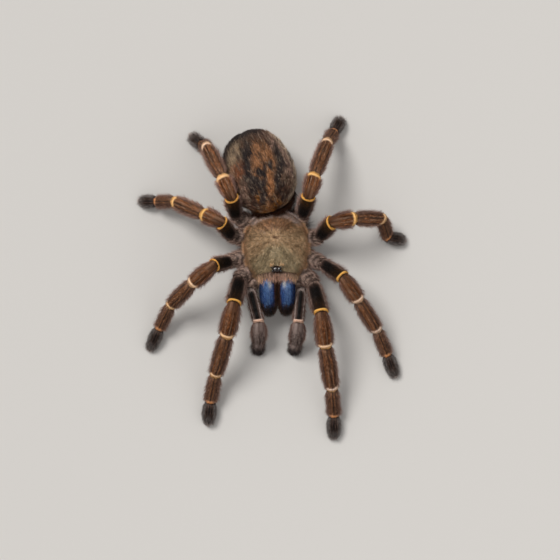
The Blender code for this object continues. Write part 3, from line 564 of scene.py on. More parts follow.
def limb_colour(limb, code, share, turn, to_end, band):
    """Colour of a limb's skin or hair. A turn of 0 is the top; to_end is in metres."""
    lean = np.abs(turn)
    flank = smooth(*FLANK_FROM, lean)
    streak = limb_streaks(code, share, turn)
    mid = np.clip(share * 1.6, 0, 1) * (1 - smooth(0.9, 1.0, share))
    brown = blend(chosen("leg"), BROWN_DARK, np.clip(0.34 - 1.1 * streak, 0, 1))
    brown = blend(brown, PALE_STRIPE, np.clip(0.9 * (streak - 0.45), 0, 0.5) * (1 - flank))
    brown = blend(brown, FRINGE, flank * 0.6)
    brown = blend(brown, BROWN_DARK, 0.6 * smooth(*UNDER_FROM, lean))
    # The pale pair of stripes is strongest on the rear legs' knees
    stripe = (1.3 if limb.pair in "34" else 0.78) * line_at(lean, 0.30, 0.034) * mid
    patella = blend(brown, PALE_STRIPE, np.minimum(stripe, 1))
    tibia = blend(brown, PALE_STRIPE, 0.07 + 0.5 * stripe)
    tibia = blend(tibia, NEAR_BLACK, 0.42 * line_at(lean, 0.0, 0.09) * mid)
    metatarsus = blend(brown, FOOT_GREY, np.full(len(lean), 0.55)) * 1.15
    metatarsus = blend(metatarsus, NEAR_BLACK, 0.7 * line_at(lean, 0.0, 0.12))
    metatarsus = blend(metatarsus, ORANGE, 0.35 * line_at(lean, 0.24, 0.06))
    if limb.palp:
        femur, tibia, foot = palp_colours(share, turn, streak)
        patella = tibia
    else:
        femur = femur_colour(limb, share, lean, streak)
        foot = foot_colour(share, lean)
    colour = coxa_colour(code, share, turn, streak)
    for number, own in enumerate((femur, patella, tibia, metatarsus, foot), 1):
        colour = np.where((code == number)[:, None], own, colour)
    away = np.abs(to_end - band_middle(code, turn))
    ring = 1 - smooth(0.30, 0.62, away / band_width(code))
    ring = ring * np.where(code == 4, 1 - smooth(0.3, 0.7, lean), 1.0)
    return blend(colour, band, ring * band_share(limb, code) * (1 - 0.8 * smooth(1.2, 2.2, lean)))


def band_middle(code, turn):
    """Distance of a band from its article's end: it bows back over a knee, or forward."""
    bow = np.select([code == 1, code == 2, code == 3], [0.0004, -0.0005, -0.0003], 0.0)
    return 0.8 * band_width(code) + bow * (np.cos(turn) - 0.5)


def band_width(code):
    """Bands at the ends of the patella and the tibia are wider than the femur's."""
    return BAND * np.where((code == 2) | (code == 3), 1.3, 0.88)


def band_share(limb, code):
    """Which articles end in a pale band: femur, patella, tibia and, faintly, metatarsus."""
    if limb.palp:
        return np.where(code == 1, 1.0, 0.0)
    return np.select([(code >= 1) & (code <= 3), code == 4], [1.0, 0.65], 0.0)


# How far the patella's and the tibia's band are from yellow to cream
BAND_CREAM = {
    "right_1": (0.45, 0.50),
    "left_1": (0.55, 0.90),
    "right_2": (0.60, 0.40),
    "left_2": (0.75, 0.85),
    "right_3": (0.10, 0.20),
    "left_3": (0.15, 0.40),
    "right_4": (0.35, 0.70),
    "left_4": (0.15, 0.60),
}


def band_tone(limb, code):
    """Yellow on the front legs' knees, cream towards the feet, orange at the metatarsus."""
    if limb.palp:
        return np.broadcast_to(blend(CREAM, ORANGE, 0.3), (len(code), 3))
    yellow = chosen("band")
    knee, shin = BAND_CREAM[limb.name]
    colours = [yellow, blend(yellow, CREAM, knee), blend(yellow, CREAM, shin), ORANGE]
    picks = [code == 1, code == 2, code == 3, code == 4]
    return np.select([pick[:, None] for pick in picks], colours, 0.0)


def section(centre, along, up_hint, half_width, half_height, cut_normal=None):
    """Matrix that lays the unit circle across a limb, sheared into the plane of a joint."""
    along = along.normalized()
    normal = cut_normal or along
    up = (up_hint - along * up_hint.dot(along)).normalized()
    side = along.cross(up)
    spans = []
    for span in (side * half_width, up * half_height):
        spans.append(span - along * (span.dot(normal) / along.dot(normal)))
    return matrix_of(spans[0], spans[1], along * half_width, centre)


def matrix_of(x_axis, y_axis, z_axis, centre):
    matrix = Matrix((x_axis, y_axis, z_axis)).transposed().to_4x4()
    matrix.translation = centre
    return matrix


def of_kind(items, kind):
    return [item for item in items if isinstance(item, kind)]


def pulled_out(bm, end):
    """Extrudes a face; returns the vertices of its new end and that end."""
    grown = bmesh.ops.extrude_face_region(bm, geom=[end, *end.edges])["geom"]
    return of_kind(grown, bmesh.types.BMVert), of_kind(grown, bmesh.types.BMFace)[0]


def swept(bm, sections, sides, tag=None):
    """A closed tube by extrusion of a circle; tag(k, verts) marks each ring's vertices."""
    made = bmesh.ops.create_circle(bm, cap_ends=True, segments=sides, radius=1.0)
    verts = made["verts"]
    end = verts[0].link_faces[0]
    bmesh.ops.transform(bm, matrix=sections[0], verts=verts)
    if tag:
        tag(0, verts)
    for number, (before, after) in enumerate(zip(sections, sections[1:]), 1):
        verts, end = pulled_out(bm, end)
        bmesh.ops.transform(bm, matrix=after @ before.inverted(), verts=verts)
        if tag:
            tag(number, verts)


def placed(name, data):
    """An object of the scene that shows a mesh, a camera or a light."""
    obj = bpy.data.objects.new(name, data)
    bpy.context.scene.collection.objects.link(obj)
    return obj


def finished(name, bm, material, *nodes, coat=None):
    """A finished, smooth object from a bmesh, riding on the body and replacing nodes."""
    bmesh.ops.recalc_face_normals(bm, faces=bm.faces)
    mesh = bpy.data.meshes.new(name)
    bm.to_mesh(mesh)
    bm.free()
    mesh.shade_smooth()
    if coat is not None:
        paint(mesh, coat)
    mesh.materials.append(material)
    obj = placed(name, mesh)
    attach(obj, ROOT)
    if nodes:
        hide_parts(*nodes)
    return obj


def paint(mesh, colours):
    """Stores a colour for each vertex as the attribute that the coat's material reads."""
    layer = mesh.attributes.new("coat", "FLOAT_COLOR", "POINT")
    values = np.ones((len(mesh.vertices), 4), dtype=np.float32)
    values[:, :3] = np.clip(colours, 0, 1)
    layer.data.foreach_set("color", values.ravel())


def node(tree, kind, settings=None, **links):
    """Adds a shader node, sets its properties, and links or sets its named inputs."""
    made = tree.nodes.new(kind)
    for name, value in (settings or {}).items():
        setattr(made, name, value)
    for name, value in links.items():
        socket = made.inputs[name.replace("_", " ")]
        if isinstance(value, bpy.types.NodeSocket):
            tree.links.new(value, socket)
        else:
            socket.default_value = value
    return made


def material(name, **surface):
    """A material with a Principled shader; returns it, its tree and the shader."""
    made = bpy.data.materials.new(name)
    made.use_nodes = True
    tree = made.node_tree
    shader = tree.nodes["Principled BSDF"]
    for socket, value in surface.items():
        shader.inputs[socket.replace("_", " ")].default_value = value
    return made, tree, shader


def grain(tree, scale, stretch=(1, 1, 1), detail=4.0):
    """Noise on the piece's own coordinates, in grains to the metre."""
    place = node(tree, "ShaderNodeTexCoord").outputs["Object"]
    turned = node(tree, "ShaderNodeMapping", Vector=place, Scale=stretch).outputs["Vector"]
    return node(tree, "ShaderNodeTexNoise", Vector=turned, Scale=scale, Detail=detail).outputs["Fac"]


def bumped(tree, shader, height, strength, distance):
    bump = node(tree, "ShaderNodeBump", Height=height, Strength=strength, Distance=distance)
    tree.links.new(bump.outputs["Normal"], shader.inputs["Normal"])


def shaded(tree, colour, low, high, share):
    """A colour made darker and lighter by a pattern."""
    level = node(tree, "ShaderNodeMapRange", Value=share, To_Min=low, To_Max=high).outputs["Result"]
    grey = node(tree, "ShaderNodeCombineColor", Red=level, Green=level, Blue=level).outputs["Color"]
    mixed = node(tree, "ShaderNodeMix", {"data_type": "RGBA", "blend_type": "MULTIPLY"})
    mixed.inputs[0].default_value = 1.0
    tree.links.new(colour, mixed.inputs[6])
    tree.links.new(grey, mixed.inputs[7])
    return mixed.outputs[2]


# Surfaces whose colour is stored on the piece: key, name, shader values, how much darker and
# lighter the grain makes the colour, grains to the metre, and bumps to the metre with strength
PAINTED = (
    # Chitin bristles: matt, with a soft gloss along each hair
    ("hair", "chitin_bristle", {"Roughness": 0.55, "Specular_IOR_Level": 0.18},
     (0.75, 1.25), 1400, None),
    # Structural blue of the jaws' flat hairs: a metallic gloss that no pigment gives
    ("blue", "structural_blue_bristle", {"Roughness": 0.34, "Metallic": 0.35, "Specular_IOR_Level": 0.7},
     (0.7, 1.3), 1600, None),
    # Living skin under the coat: dull, finely wrinkled cuticle
    ("skin", "soft_cuticle", {"Roughness": 0.62, "Specular_IOR_Level": 0.2},
     (0.7, 1.2), 2600, (5200, 0.5)),
    # Hard shell of the carapace: tanned chitin with fine pits of about 0.1 mm
    ("shell", "tanned_chitin", {"Roughness": 0.48, "Specular_IOR_Level": 0.4},
     (0.7, 1.25), 1900, (7000, 0.6)),
)
BUMP_HEIGHT = 0.00008


def grained(tree, shader, scale, dark, light):
    """Gives a shader two colours that lie in grains over the piece."""
    tint = node(tree, "ShaderNodeMix", {"data_type": "RGBA"})
    tree.links.new(grain(tree, scale), tint.inputs[0])
    tint.inputs[6].default_value = (*linear(dark), 1)
    tint.inputs[7].default_value = (*linear(light), 1)
    tree.links.new(tint.outputs[2], shader.inputs["Base Color"])


def make_materials():
    made = {}
    for key, name, values, (low, high), scale, bumps in PAINTED:
        made[key], tree, shader = material(name, **values)
        own = node(tree, "ShaderNodeAttribute", {"attribute_name": "coat"}).outputs["Color"]
        tree.links.new(shaded(tree, own, low, high, grain(tree, scale)), shader.inputs["Base Color"])
        if bumps:
            bumped(tree, shader, grain(tree, bumps[0], detail=6.0), bumps[1], BUMP_HEIGHT)

    # Fangs and claws: black, hard and polished chitin, dark red where it is thin
    made["fang"], tree, shader = material("polished_black_chitin", Roughness=0.16, Specular_IOR_Level=0.6)
    grained(tree, shader, 900, "#0b0807", "#2a120c")
    bumped(tree, shader, grain(tree, 3000, (1, 0.2, 1)), 0.15, BUMP_HEIGHT / 2)

    # Eye lenses: clear cuticle over a black ground, or a pale silvery one for the fourth pair, whose pearly
    # colour is also a painted glint
    for name, ground, gleam in (("dark_lens", "#060507", "#14100f"), ("pearly_lens_glint", "#a8a6a2", "#e8e6e0")):
        made[name], tree, shader = material(
            name, Roughness=0.04, Specular_IOR_Level=0.7, Coat_Weight=0.8, Coat_Roughness=0.03
        )
        grained(tree, shader, 2200, ground, gleam)
    return made


MATERIALS = {}


def limb_rings(limb):
    """Sections of a limb's skin, with article code, share, distance to its end and centre."""
    rings = []
    last = len(limb.articles) - 1
    for index, part in enumerate(limb.articles):
        length, along, _, _ = limb.axes(index)
        start = limb.joints[index]
        widths = limb.widths[part]
        code = ARTICLE_CODE[part]
        ends = limb.ends_taken(index)
        low = ends[0] + (0.0005 if index else 0)
        banded = band_share(limb, np.array([code]))[0] > 0
        before_end = BAND_STOPS if banded else BAND_STOPS[-2:]
        high = length - ends[1] - (before_end[0] + 0.0003 if index < last else 0)
        stops = []
        if index:
            stops += [(after, 0) for after in START_STOPS]
        count = max(3, round((high - low) / RING_STEP))
        stops += [(low + (high - low) * step / count, None) for step in range(count + 1)]
        if index < last:
            stops += [(length - before, 1) for before in before_end]
        for reach, at_bend in stops:
            normal = None if at_bend is None else limb.bend(index + at_bend)
            half = half_width_at(widths, min(1.0, reach / length)) - limb.depth(part)
            to_end = length - reach
            if at_bend is None:
                to_end = max(to_end - ends[1], 0.002) if index < last else FAR_FROM_BAND
            elif at_bend == 1 and banded:
                half += BAND_FLARE * math.sin(math.pi * min(1.0, to_end / BAND_STOPS[0]))
            if at_bend is not None and min(reach, length - reach) < FOLD_REACH:
                half -= FOLD_DEPTH
            if index == last:
                left = max(0.0, (length - reach) / (0.9 * widths[2]))
                half = max(0.08 * widths[2], half * math.sqrt(max(0, 1 - (1 - min(1, left)) ** 2)))
            lay = section(start + along * reach, along, UP, half, half, normal)
            rings.append((lay, code, reach / length, to_end))
    return rings


def frame_turn(lay, place):
    """Turn of a point round a section from its top, positive towards the section's side."""
    local = lay.inverted() @ place
    return math.atan2(local.x, local.y)


def make_skin():
    """The flesh of legs, palps, abdomen, waist and breastplate in one piece."""
    bm = bmesh.new()
    colours = []
    for limb in LIMBS.values():
        rings = limb_rings(limb)
        marks = []

        def tag(number, verts):
            lay, code, share, to_end = rings[number]
            for vert in verts:
                marks.append((vert, code, share, frame_turn(lay, vert.co), to_end))

        swept(bm, [ring[0] for ring in rings], LIMB_SIDES, tag)
        code, share, turn, to_end = (np.array([mark[place] for mark in marks]) for place in (1, 2, 3, 4))
        own = limb_colour(limb, code, share, turn, to_end, band_tone(limb, code))
        away = np.abs(to_end - band_middle(code, turn))
        band = (band_share(limb, code) > 0) & (away < 0.5 * band_width(code))
        # Away from the bands the skin is darker: painted shade in the gaps between the hairs
        own = np.where(band[:, None], own, own * (0.7 if limb.palp else 0.4))
        colours += [(mark[0], colour) for mark, colour in zip(marks, own)]
    colours += add_abdomen_skin(bm) + add_waist(bm)
    bm.verts.ensure_lookup_table()
    bm.verts.index_update()
    coat = np.zeros((len(bm.verts), 3))
    for vert, colour in colours:
        coat[vert.index] = colour
    nodes = [name for limb in LIMBS.values() for name in limb.nodes()]
    finished("skin", bm, MATERIALS["skin"], "abdomen", "pedicel", "sternum", *nodes, coat=coat)


def abdomen_matrix():
    swing = Matrix.Rotation(ABDOMEN_SWING, 4, "Z")
    return Matrix.Translation(ORIGIN + ABDOMEN_CENTRE) @ swing


def abdomen_surface(units):
    """Points and normals of the abdomen for rows of unit vectors, in its own axes."""
    level = np.maximum(np.hypot(units[:, 0], units[:, 1]), 1e-9)
    across, along = np.abs(units[:, 0] / level), np.abs(units[:, 1] / level)
    spread = (across**ABDOMEN_POWER + along**ABDOMEN_POWER) ** (-1 / ABDOMEN_POWER)
    drop = np.where(units[:, 2] < 0, ABDOMEN_BELLY_FLAT, 1.0)
    half = np.array(ABDOMEN_HALF)
    points = units * half
    points[:, :2] *= spread[:, None]
    points[:, 2] *= drop
    slopes = points / half**2
    slopes[:, 2] /= drop**2
    return points, slopes / np.linalg.norm(slopes, axis=1)[:, None]


# Marks of the abdomen's back: place across and rearward, as shares of its half width and
# half length, their own half sizes, turn in degrees, strength and colour, painted in turn
ABDOMEN_MARKS = (
    (-0.48, 0.60, 0.18, 0.38, -48, 0.95, OLIVE_GREY),
    (-0.66, 0.40, 0.24, 0.36, -34, 0.90, OLIVE_GREY),
    (-0.86, 0.14, 0.12, 0.34, -6, 0.75, OLIVE_GREY),
    (0.62, 0.52, 0.22, 0.38, 38, 0.80, GREY_BROWN),
    (0.86, -0.10, 0.20, 0.50, 5, 0.85, GREY_BROWN),
    (-0.50, 0.14, 0.15, 0.22, -20, 0.85, RUFOUS_DARK),
    (-0.74, 0.04, 0.16, 0.26, -20, 0.60, RUFOUS_DARK),
    (-0.66, -0.42, 0.18, 0.32, -20, 0.35, GREY_BROWN),
    (-0.10, -0.66, 0.66, 0.38, 0, 0.88, BROWN_DARK),
    (-0.24, -0.95, 0.60, 0.10, 0, 0.90, FRONT_GOLD),
    (0.21, 0.16, 0.34, 0.46, -10, 1.0, None),
    (0.42, 0.15, 0.16, 0.38, 0, 0.70, None),
    (-0.06, -0.12, 0.18, 0.10, 10, 0.85, None),
    (0.12, -0.44, 0.11, 0.30, -25, 0.90, None),
    (-0.37, -0.58, 0.06, 0.22, -16, 0.80, FRONT_GOLD),
    (0.03, -0.80, 0.06, 0.20, -16, 0.65, FRONT_GOLD),
    (-0.12, -0.82, 0.04, 0.16, -16, 0.45, None),
    (-0.14, 0.45, 0.12, 0.27, -43, 0.94, SOOT),
    (-0.29, 0.13, 0.14, 0.28, -5, 0.94, SOOT),
    (-0.41, -0.10, 0.13, 0.12, 0, 0.85, SOOT),
    (-0.19, -0.28, 0.25, 0.11, -17, 0.92, SOOT),
    (-0.39, -0.36, 0.10, 0.14, 0, 0.70, SOOT),
    (-0.13, -0.56, 0.06, 0.22, -16, 0.80, SOOT),
    (-0.27, -0.72, 0.05, 0.20, -16, 0.70, SOOT),
    (0.50, 0.62, 0.26, 0.30, -35, 0.6, BROWN_DARK),
    (0.06, -0.11, 0.17, 0.13, 0, 1.0, SOOT),
    (0.35, -0.06, 0.14, 0.10, 0, 1.0, SOOT),
    (0.71, 0.08, 0.10, 0.30, -5, 0.90, SOOT),
    (0.50, -0.28, 0.10, 0.24, -50, 0.90, SOOT),
    (0.31, -0.52, 0.09, 0.22, -25, 0.88, SOOT),
)
ABDOMEN_BASE = tone("#7a5c48")


def abdomen_colour(points):
    """Colour of the abdomen's skin or fur from points in its own axes."""
    half = np.array(ABDOMEN_HALF)
    across, rearward = points[:, 0] / half[0], points[:, 1] / half[1]
    above = smooth(-0.45, -0.05, points[:, 2] / half[2])
    # Ragged edges, drawn out along the lie of the fur
    shift_x = 0.06 * mottle(across * 9 + 20, rearward * 4 + 20, 21)
    shift_y = 0.09 * mottle(across * 12 + 5, rearward * 4 + 9, 22)
    fine = mottle(across * 36 + 41, rearward * 7 + 13, 23)
    strand = mottle(across * 78 + 70, rearward * 12 + 30, 25)
    coarse = mottle(across * 13 + 22, rearward * 5 + 8, 24)
    colour = blend(np.broadcast_to(ABDOMEN_BASE, points.shape), SOOT, 0.30 + 0.30 * coarse)
    for x, y, half_x, half_y, turn, strength, mark in ABDOMEN_MARKS:
        mark = chosen("patch") if mark is None else mark
        cos, sin = math.cos(math.radians(turn)), math.sin(math.radians(turn))
        dx, dy = across + shift_x - x, rearward + shift_y - y
        away = np.hypot((dx * cos + dy * sin) / half_x, (dy * cos - dx * sin) / half_y)
        away = away + 0.16 * fine
        colour = blend(colour, mark, strength * (1 - smooth(0.72, 1.18, away)))
    edge = (np.abs(across) ** ABDOMEN_POWER + np.abs(rearward) ** ABDOMEN_POWER) ** (1 / ABDOMEN_POWER)
    black_rim = smooth(0.78, 0.93, edge + 0.05 * fine) * smooth(0.40, 0.75, rearward - 0.35 * across)
    colour = blend(colour, SOOT, 0.92 * black_rim)
    pale_rim = smooth(0.90, 0.98, edge + 0.04 * fine) * smooth(0.45, 0.8, across - 0.3 * rearward)
    colour = blend(colour, PALE_EDGE, 0.85 * pale_rim)
    colour = blend(colour, SOOT, np.clip(1.1 * (-fine - 0.10), 0, 0.8))
    colour = blend(colour, PALE_EDGE, np.clip(0.9 * (strand - 0.30), 0, 0.5) * (1 - black_rim))
    return blend(GREY_BROWN * 0.75 * np.ones_like(colour), colour, above)


def add_abdomen_skin(bm):
    made = bmesh.ops.create_uvsphere(bm, u_segments=72, v_segments=44, radius=1.0)
    verts = made["verts"]
    turned = Matrix.Rotation(math.radians(90), 3, "X")
    bmesh.ops.rotate(bm, cent=(0, 0, 0), matrix=turned, verts=verts)
    units = np.array([vert.co.normalized() for vert in verts])
    points, normals = abdomen_surface(units)
    # The skin under the fur is darker: painted shade in the gaps between the hairs
    colours = abdomen_colour(points) * 0.6
    place = abdomen_matrix()
    for vert, point, normal in zip(verts, points, normals):
        vert.co = place @ Vector(point - normal * ABDOMEN_DEPTH)
    return list(zip(verts, colours))


def add_waist(bm):
    """The pedicel and the breastplate."""
    start, end = (ORIGIN + point for point in PEDICEL_ENDS)
    along = end - start
    painted = []

    def tag(_, verts):
        painted.extend((vert, COXA_PINK * 0.5) for vert in verts)

    sections = []
    for number, share in enumerate(PEDICEL_SHARES):
        centre = start.lerp(end, number / (len(PEDICEL_SHARES) - 1))
        sections.append(section(centre, along, UP, PEDICEL_RADIUS * share, PEDICEL_RADIUS * share))
    swept(bm, sections, 20, tag)
    levels = []
    for z, spread in STERNUM_LEVELS:
        half_x, half_y = STERNUM_HALF[0] * spread * 0.98, STERNUM_HALF[1] * spread * 0.98
        centre = ORIGIN + Vector((0, STERNUM_Y, z + 0.0001))
        axes = (Vector((half_x, 0, 0)), Vector((0, half_y, 0)), Vector((0, 0, half_x)))
        levels.append(matrix_of(*axes, centre))
    swept(bm, levels, 48, lambda _, verts: painted.extend((vert, NEAR_BLACK) for vert in verts))
    return painted


def planform_radius(x, y):
    """0 at the middle of the carapace and 1 on its outline before the front is cut off."""
    ahead = y < CARAPACE_WIDEST_Y
    reach = np.where(ahead, CARAPACE_FRONT_REACH, CARAPACE_REAR_REACH)
    power = np.where(ahead, CARAPACE_FRONT_POWER, CARAPACE_REAR_POWER)
    across = np.abs(x) / CARAPACE_HALF_WIDTH
    along = np.abs(y - CARAPACE_WIDEST_Y) / reach
    return (across**power + along**power) ** (1 / power)


def carapace_height(x, y):
    """Height of the fur's surface over the carapace."""
    slope = np.maximum(0.0, 1 - planform_radius(x, y) ** CARAPACE_DOME_POWER) ** CARAPACE_EDGE_POWER
    base = CARAPACE_UNDERSIDE_Z + CARAPACE_MARGIN + CARAPACE_RISE * slope
    head = HEAD_BUMP * np.exp(-(x**2 + (y - HEAD_BUMP_Y) ** 2) / HEAD_BUMP_REACH**2)
    pit = FOVEA_DEPTH * np.exp(-(x**2 + (y - FOVEA_Y) ** 2) / FOVEA_REACH**2)
    return base + head * slope - pit


def furrows(x, y):
    """Depth, as a share, of the furrows that radiate from the fovea."""
    heading = np.degrees(np.arctan2(np.abs(x), -(y - FOVEA_Y)))
    away = np.hypot(x, y - FOVEA_Y) / CARAPACE_HALF_WIDTH
    depth = np.zeros_like(heading)
    for angle in FURROW_ANGLES:
        depth = np.maximum(depth, np.exp(-(((heading - angle) / FURROW_WIDTH) ** 2)))
    return depth * smooth(0.12, 0.3, away) * (1 - smooth(0.7, 0.95, away))


def fovea_slit(x, y, half):
    """1 in the fovea's slit, which bows, and 0 outside it."""
    return np.exp(-(((y - FOVEA_Y - 220 * x * x) / half) ** 2) - (x / 0.0011) ** 4)


def carapace_colour(x, y):
    """Olive gold with streaks that radiate from the fovea, painted shade along its furrows, and a pinkish
    tan rim.
    """
    heading = np.arctan2(x, -(y - FOVEA_Y))
    away = np.hypot(x, y - FOVEA_Y) / CARAPACE_HALF_WIDTH
    edge = planform_radius(x, y)
    fine = mottle(heading * 15 + 60, away * 5 + 3, 31)
    broad = mottle(heading * 6 + 40, away * 2.2 + 9, 33)
    dense = mottle(x * 3400 + 40, y * 2600 + 40, 34)
    speck = mottle(x * 7000 + 40, y * 6000 + 40, 35)
    fine = fine * smooth(0.12, 0.45, away)
    ahead = 1 - smooth(0.7, 1.5, np.abs(heading))
    level = 0.66 + (0.12 + 0.30 * ahead) * fine + 0.10 * broad + 0.35 * dense + 0.45 * speck
    colour = blend(OLIVE_DARK, chosen("shell"), np.clip(level, 0, 1))
    colour = blend(colour, GOLD_LIGHT, np.clip(1.3 * (level - 0.8), 0, 1))
    green = ahead * smooth(0.1, 0.4, away) * (1 - smooth(0.5, 1.1, np.abs(heading)))
    colour = blend(colour, SAGE, 0.55 * green)
    rear = smooth(0.0022, 0.0050, y) * smooth(0.15, 0.5, edge)
    rear = rear * (1 - 0.5 * smooth(0.002, 0.006, np.abs(x)))
    brown = blend(chosen("leg"), SOOT, np.clip(0.3 - 0.5 * dense, 0, 1))
    colour = blend(colour, brown * 0.85, 0.75 * rear)
    # Darker along the furrows: painted shade in the grooves
    colour = blend(colour, OLIVE_DARK * 0.7, 0.30 * furrows(x, y))
    colour = blend(colour, RUFOUS_DARK, 0.45 * fovea_slit(x, y, 0.00024))
    colour = blend(colour, RIM_TAN, (0.65 + 0.4 * speck) * smooth(0.82, 0.95, edge + 0.04 * dense))
    pale = smooth(0.0046, 0.0060, y + 0.0008 * broad) * smooth(0.78, 0.88, edge)
    return blend(colour, REAR_PALE, 0.9 * pale * (1 - 0.6 * smooth(0.1, 0.5, dense)))


def make_carapace():
    """The shell over the head and the legs' roots, with its fovea and furrows."""
    bm = bmesh.new()
    bmesh.ops.create_uvsphere(bm, u_segments=112, v_segments=72, radius=1.0)
    below = [vert for vert in bm.verts if vert.co.z < -1e-4]
    bmesh.ops.delete(bm, geom=below, context="VERTS")
    for vert in bm.verts:
        polar = math.acos(max(-1.0, min(1.0, vert.co.z))) / (math.pi / 2)
        turn = math.atan2(vert.co.y, vert.co.x)
        out = Vector((math.cos(turn), math.sin(turn)))
        edge = SHELL_SHARE / float(planform_radius(out.x, out.y + CARAPACE_WIDEST_Y))
        x, y = out * (edge * polar**0.85)
        y += CARAPACE_WIDEST_Y
        z = float(carapace_height(x, y)) - SHELL_DEPTH - FURROW_DEPTH * float(furrows(x, y))
        vert.co = (x, y, z - SLIT_DEPTH * float(fovea_slit(x, y, 0.00022)))
    rim = [edge for edge in bm.edges if edge.is_boundary]
    for spread, drop in ((1.0, 0.0004), (0.93, 0.0002)):
        widened = bmesh.ops.extrude_edge_only(bm, edges=rim)["geom"]
        verts, rim = of_kind(widened, bmesh.types.BMVert), of_kind(widened, bmesh.types.BMEdge)
        bmesh.ops.scale(bm, vec=(spread, spread, 1), verts=verts)
        bmesh.ops.translate(bm, vec=(0, 0, -drop), verts=verts)
    bmesh.ops.holes_fill(bm, edges=rim)
    clipped = bmesh.ops.bisect_plane(
        bm, geom=[*bm.verts, *bm.edges, *bm.faces], plane_co=(0, CLYPEUS_Y + 0.0001, 0),
        plane_no=(0, -1, 0), clear_outer=True,
    )
    cut = of_kind(clipped["geom_cut"], bmesh.types.BMEdge)
    bmesh.ops.holes_fill(bm, edges=[edge for edge in cut if edge.is_boundary])
    places = np.array([vert.co for vert in bm.verts])
    # The shell under the hairs is darker, and darker still at the front under the clypeus's fringe: painted
    # shade between the hairs
    colours = carapace_colour(places[:, 0], places[:, 1]) * 0.75
    front = places[:, 1] < CLYPEUS_Y + 0.0006
    colours = np.where(front[:, None], CLYPEUS_PINK * 0.3, colours)
    bmesh.ops.translate(bm, vec=ORIGIN, verts=bm.verts)
    finished("carapace_shell", bm, MATERIALS["shell"], "carapace", coat=colours)


def add_ball(bm, centre, halves, detail):
    made = bmesh.ops.create_uvsphere(bm, u_segments=2 * detail, v_segments=detail, radius=1.0)
    place = Matrix.Translation(centre) @ Matrix.Diagonal((*halves, 1.0))
    bmesh.ops.transform(bm, matrix=place, verts=made["verts"])


def make_eyes():
    """The mound and its four pairs of eyes."""
    top = float(carapace_height(0.0, EYE_MOUND_Y)) - 0.0001
    bm = bmesh.new()
    add_ball(bm, ORIGIN + Vector((0, EYE_MOUND_Y, top)), EYE_MOUND_HALF, 20)
    finished("eye_hill", bm, MATERIALS["fang"], "eye_mound")
    for number, (half_spacing, ahead, above, radius) in enumerate(EYE_PAIRS):
        bm = bmesh.new()
        for side in SIDES.values():
            centre = ORIGIN + Vector((side * half_spacing, EYE_MOUND_Y + ahead, top + above))
            add_ball(bm, centre, (radius, radius, radius), 14)
        # The fourth pair's pale pearly ground also stands as a painted glint
        lens = "pearly_lens_glint" if number == 3 else "dark_lens"
        finished(f"eyes_{number + 1}", bm, MATERIALS[lens])


def chelicera_sections(side):
    sections = []
    for y, z, tilt, half_width, half_height in CHELICERA_STATIONS:
        angle = math.radians(tilt)
        along = Vector((0, -math.cos(angle), -math.sin(angle)))
        centre = ORIGIN + Vector((side * (CHELICERA_X - JAW_CLOSER), y, z))
        sections.append(section(centre, along, UP, half_width, half_height))
    return sections


def jaw_tone(side, turn, share):
    """Blue over the top and outside, black at the inner edge, the front end and below; lighter blue, a
    violet sheen and a white glint over the top are painted light, and darker blue at the sides painted
    shade.
    """
    inner = smooth(0.62, 0.95, turn * side)
    outer = smooth(1.35, 1.75, -turn * side)
    front = smooth(0.52, 0.78, share + 0.06 * ripple(turn, 4, 41))
    fleck = mottle(turn * 9 + 30, share * 26 + 4, 42)
    grit = mottle(turn * 21 + 30, share * 60 + 4, 43)
    # Lighter blue over the top middle near the base: painted light, broken by the hairs' own flecks and
    # grit
    light = np.clip(0.70 + 0.55 * fleck + 0.45 * grit - 0.5 * share, 0, 1)
    light = light * np.exp(-(((turn + 0.18 * side) / 0.60) ** 2))
    colour = blend(chosen("jaw"), BLUE_LIGHT, light)
    # Darker blue towards the sides: painted shade where the jaw turns away from the light
    edge = smooth(0.45, 1.2, np.abs(turn)) * 0.8
    colour = blend(colour, BLUE_DARK, np.clip(edge - 0.3 * fleck, 0, 1))
    # A white glint near the base and a violet sheen along the top are painted highlights; the violet flecks
    # are the hairs' own
    glint = np.minimum(1.8 * line_at(share, 0.22, 0.075) * line_at(turn * side, 0.22, 0.20), 1)
    sheen = line_at(turn * side, 0.22, 0.22) * (1 - smooth(0.3, 0.6, share)) * (0.6 + 0.6 * grit)
    colour = blend(colour, VIOLET, np.clip(0.9 * (grit - 0.35) + 0.45 * sheen, 0, 0.7))
    colour = blend(colour, np.ones(3), glint)
    colour = blend(colour, NEAR_BLACK, np.maximum(np.maximum(inner, outer), front))
    rufous = line_at(turn * side, 0.92, 0.18) * (1 - 0.7 * front) * np.clip(0.6 + 0.7 * fleck, 0, 1)
    return blend(colour, RUFOUS_DARK, 0.8 * rufous)


def make_jaws():
    """The two stout blue jaws with their fangs folded under them."""
    for name, side in SIDES.items():
        bm = bmesh.new()
        sections = chelicera_sections(side)
        marks = []

        def tag(number, verts):
            share = number / (len(sections) - 1)
            marks.extend((frame_turn(sections[number], vert.co), share) for vert in verts)

        swept(bm, sections, 28, tag)
        turn, share = np.array(marks).T
        # The skin under the jaw's hairs is darker: painted shade in the gaps between the hairs
        coat = jaw_tone(side, turn, share) * 0.5
        jaw = finished(f"{name}_jaw", bm, MATERIALS["blue"], f"{name}_chelicera", coat=coat)
        bm = bmesh.new()
        points = [ORIGIN + Vector((side * FANG_X, y, z)) for y, z, _ in FANG_STATIONS]
        radii = [FANG_RADIUS * share for _, _, share in FANG_STATIONS]
        swept(bm, round_sections(points, radii, Vector((0, 1, 0.4))), 20)
        fang = finished(f"{name}_fang_blade", bm, MATERIALS["fang"], f"{name}_fang")
        for piece in (jaw, fang):
            rounded = piece.modifiers.new("rounded", "SUBSURF")
            rounded.levels = rounded.render_levels = 1


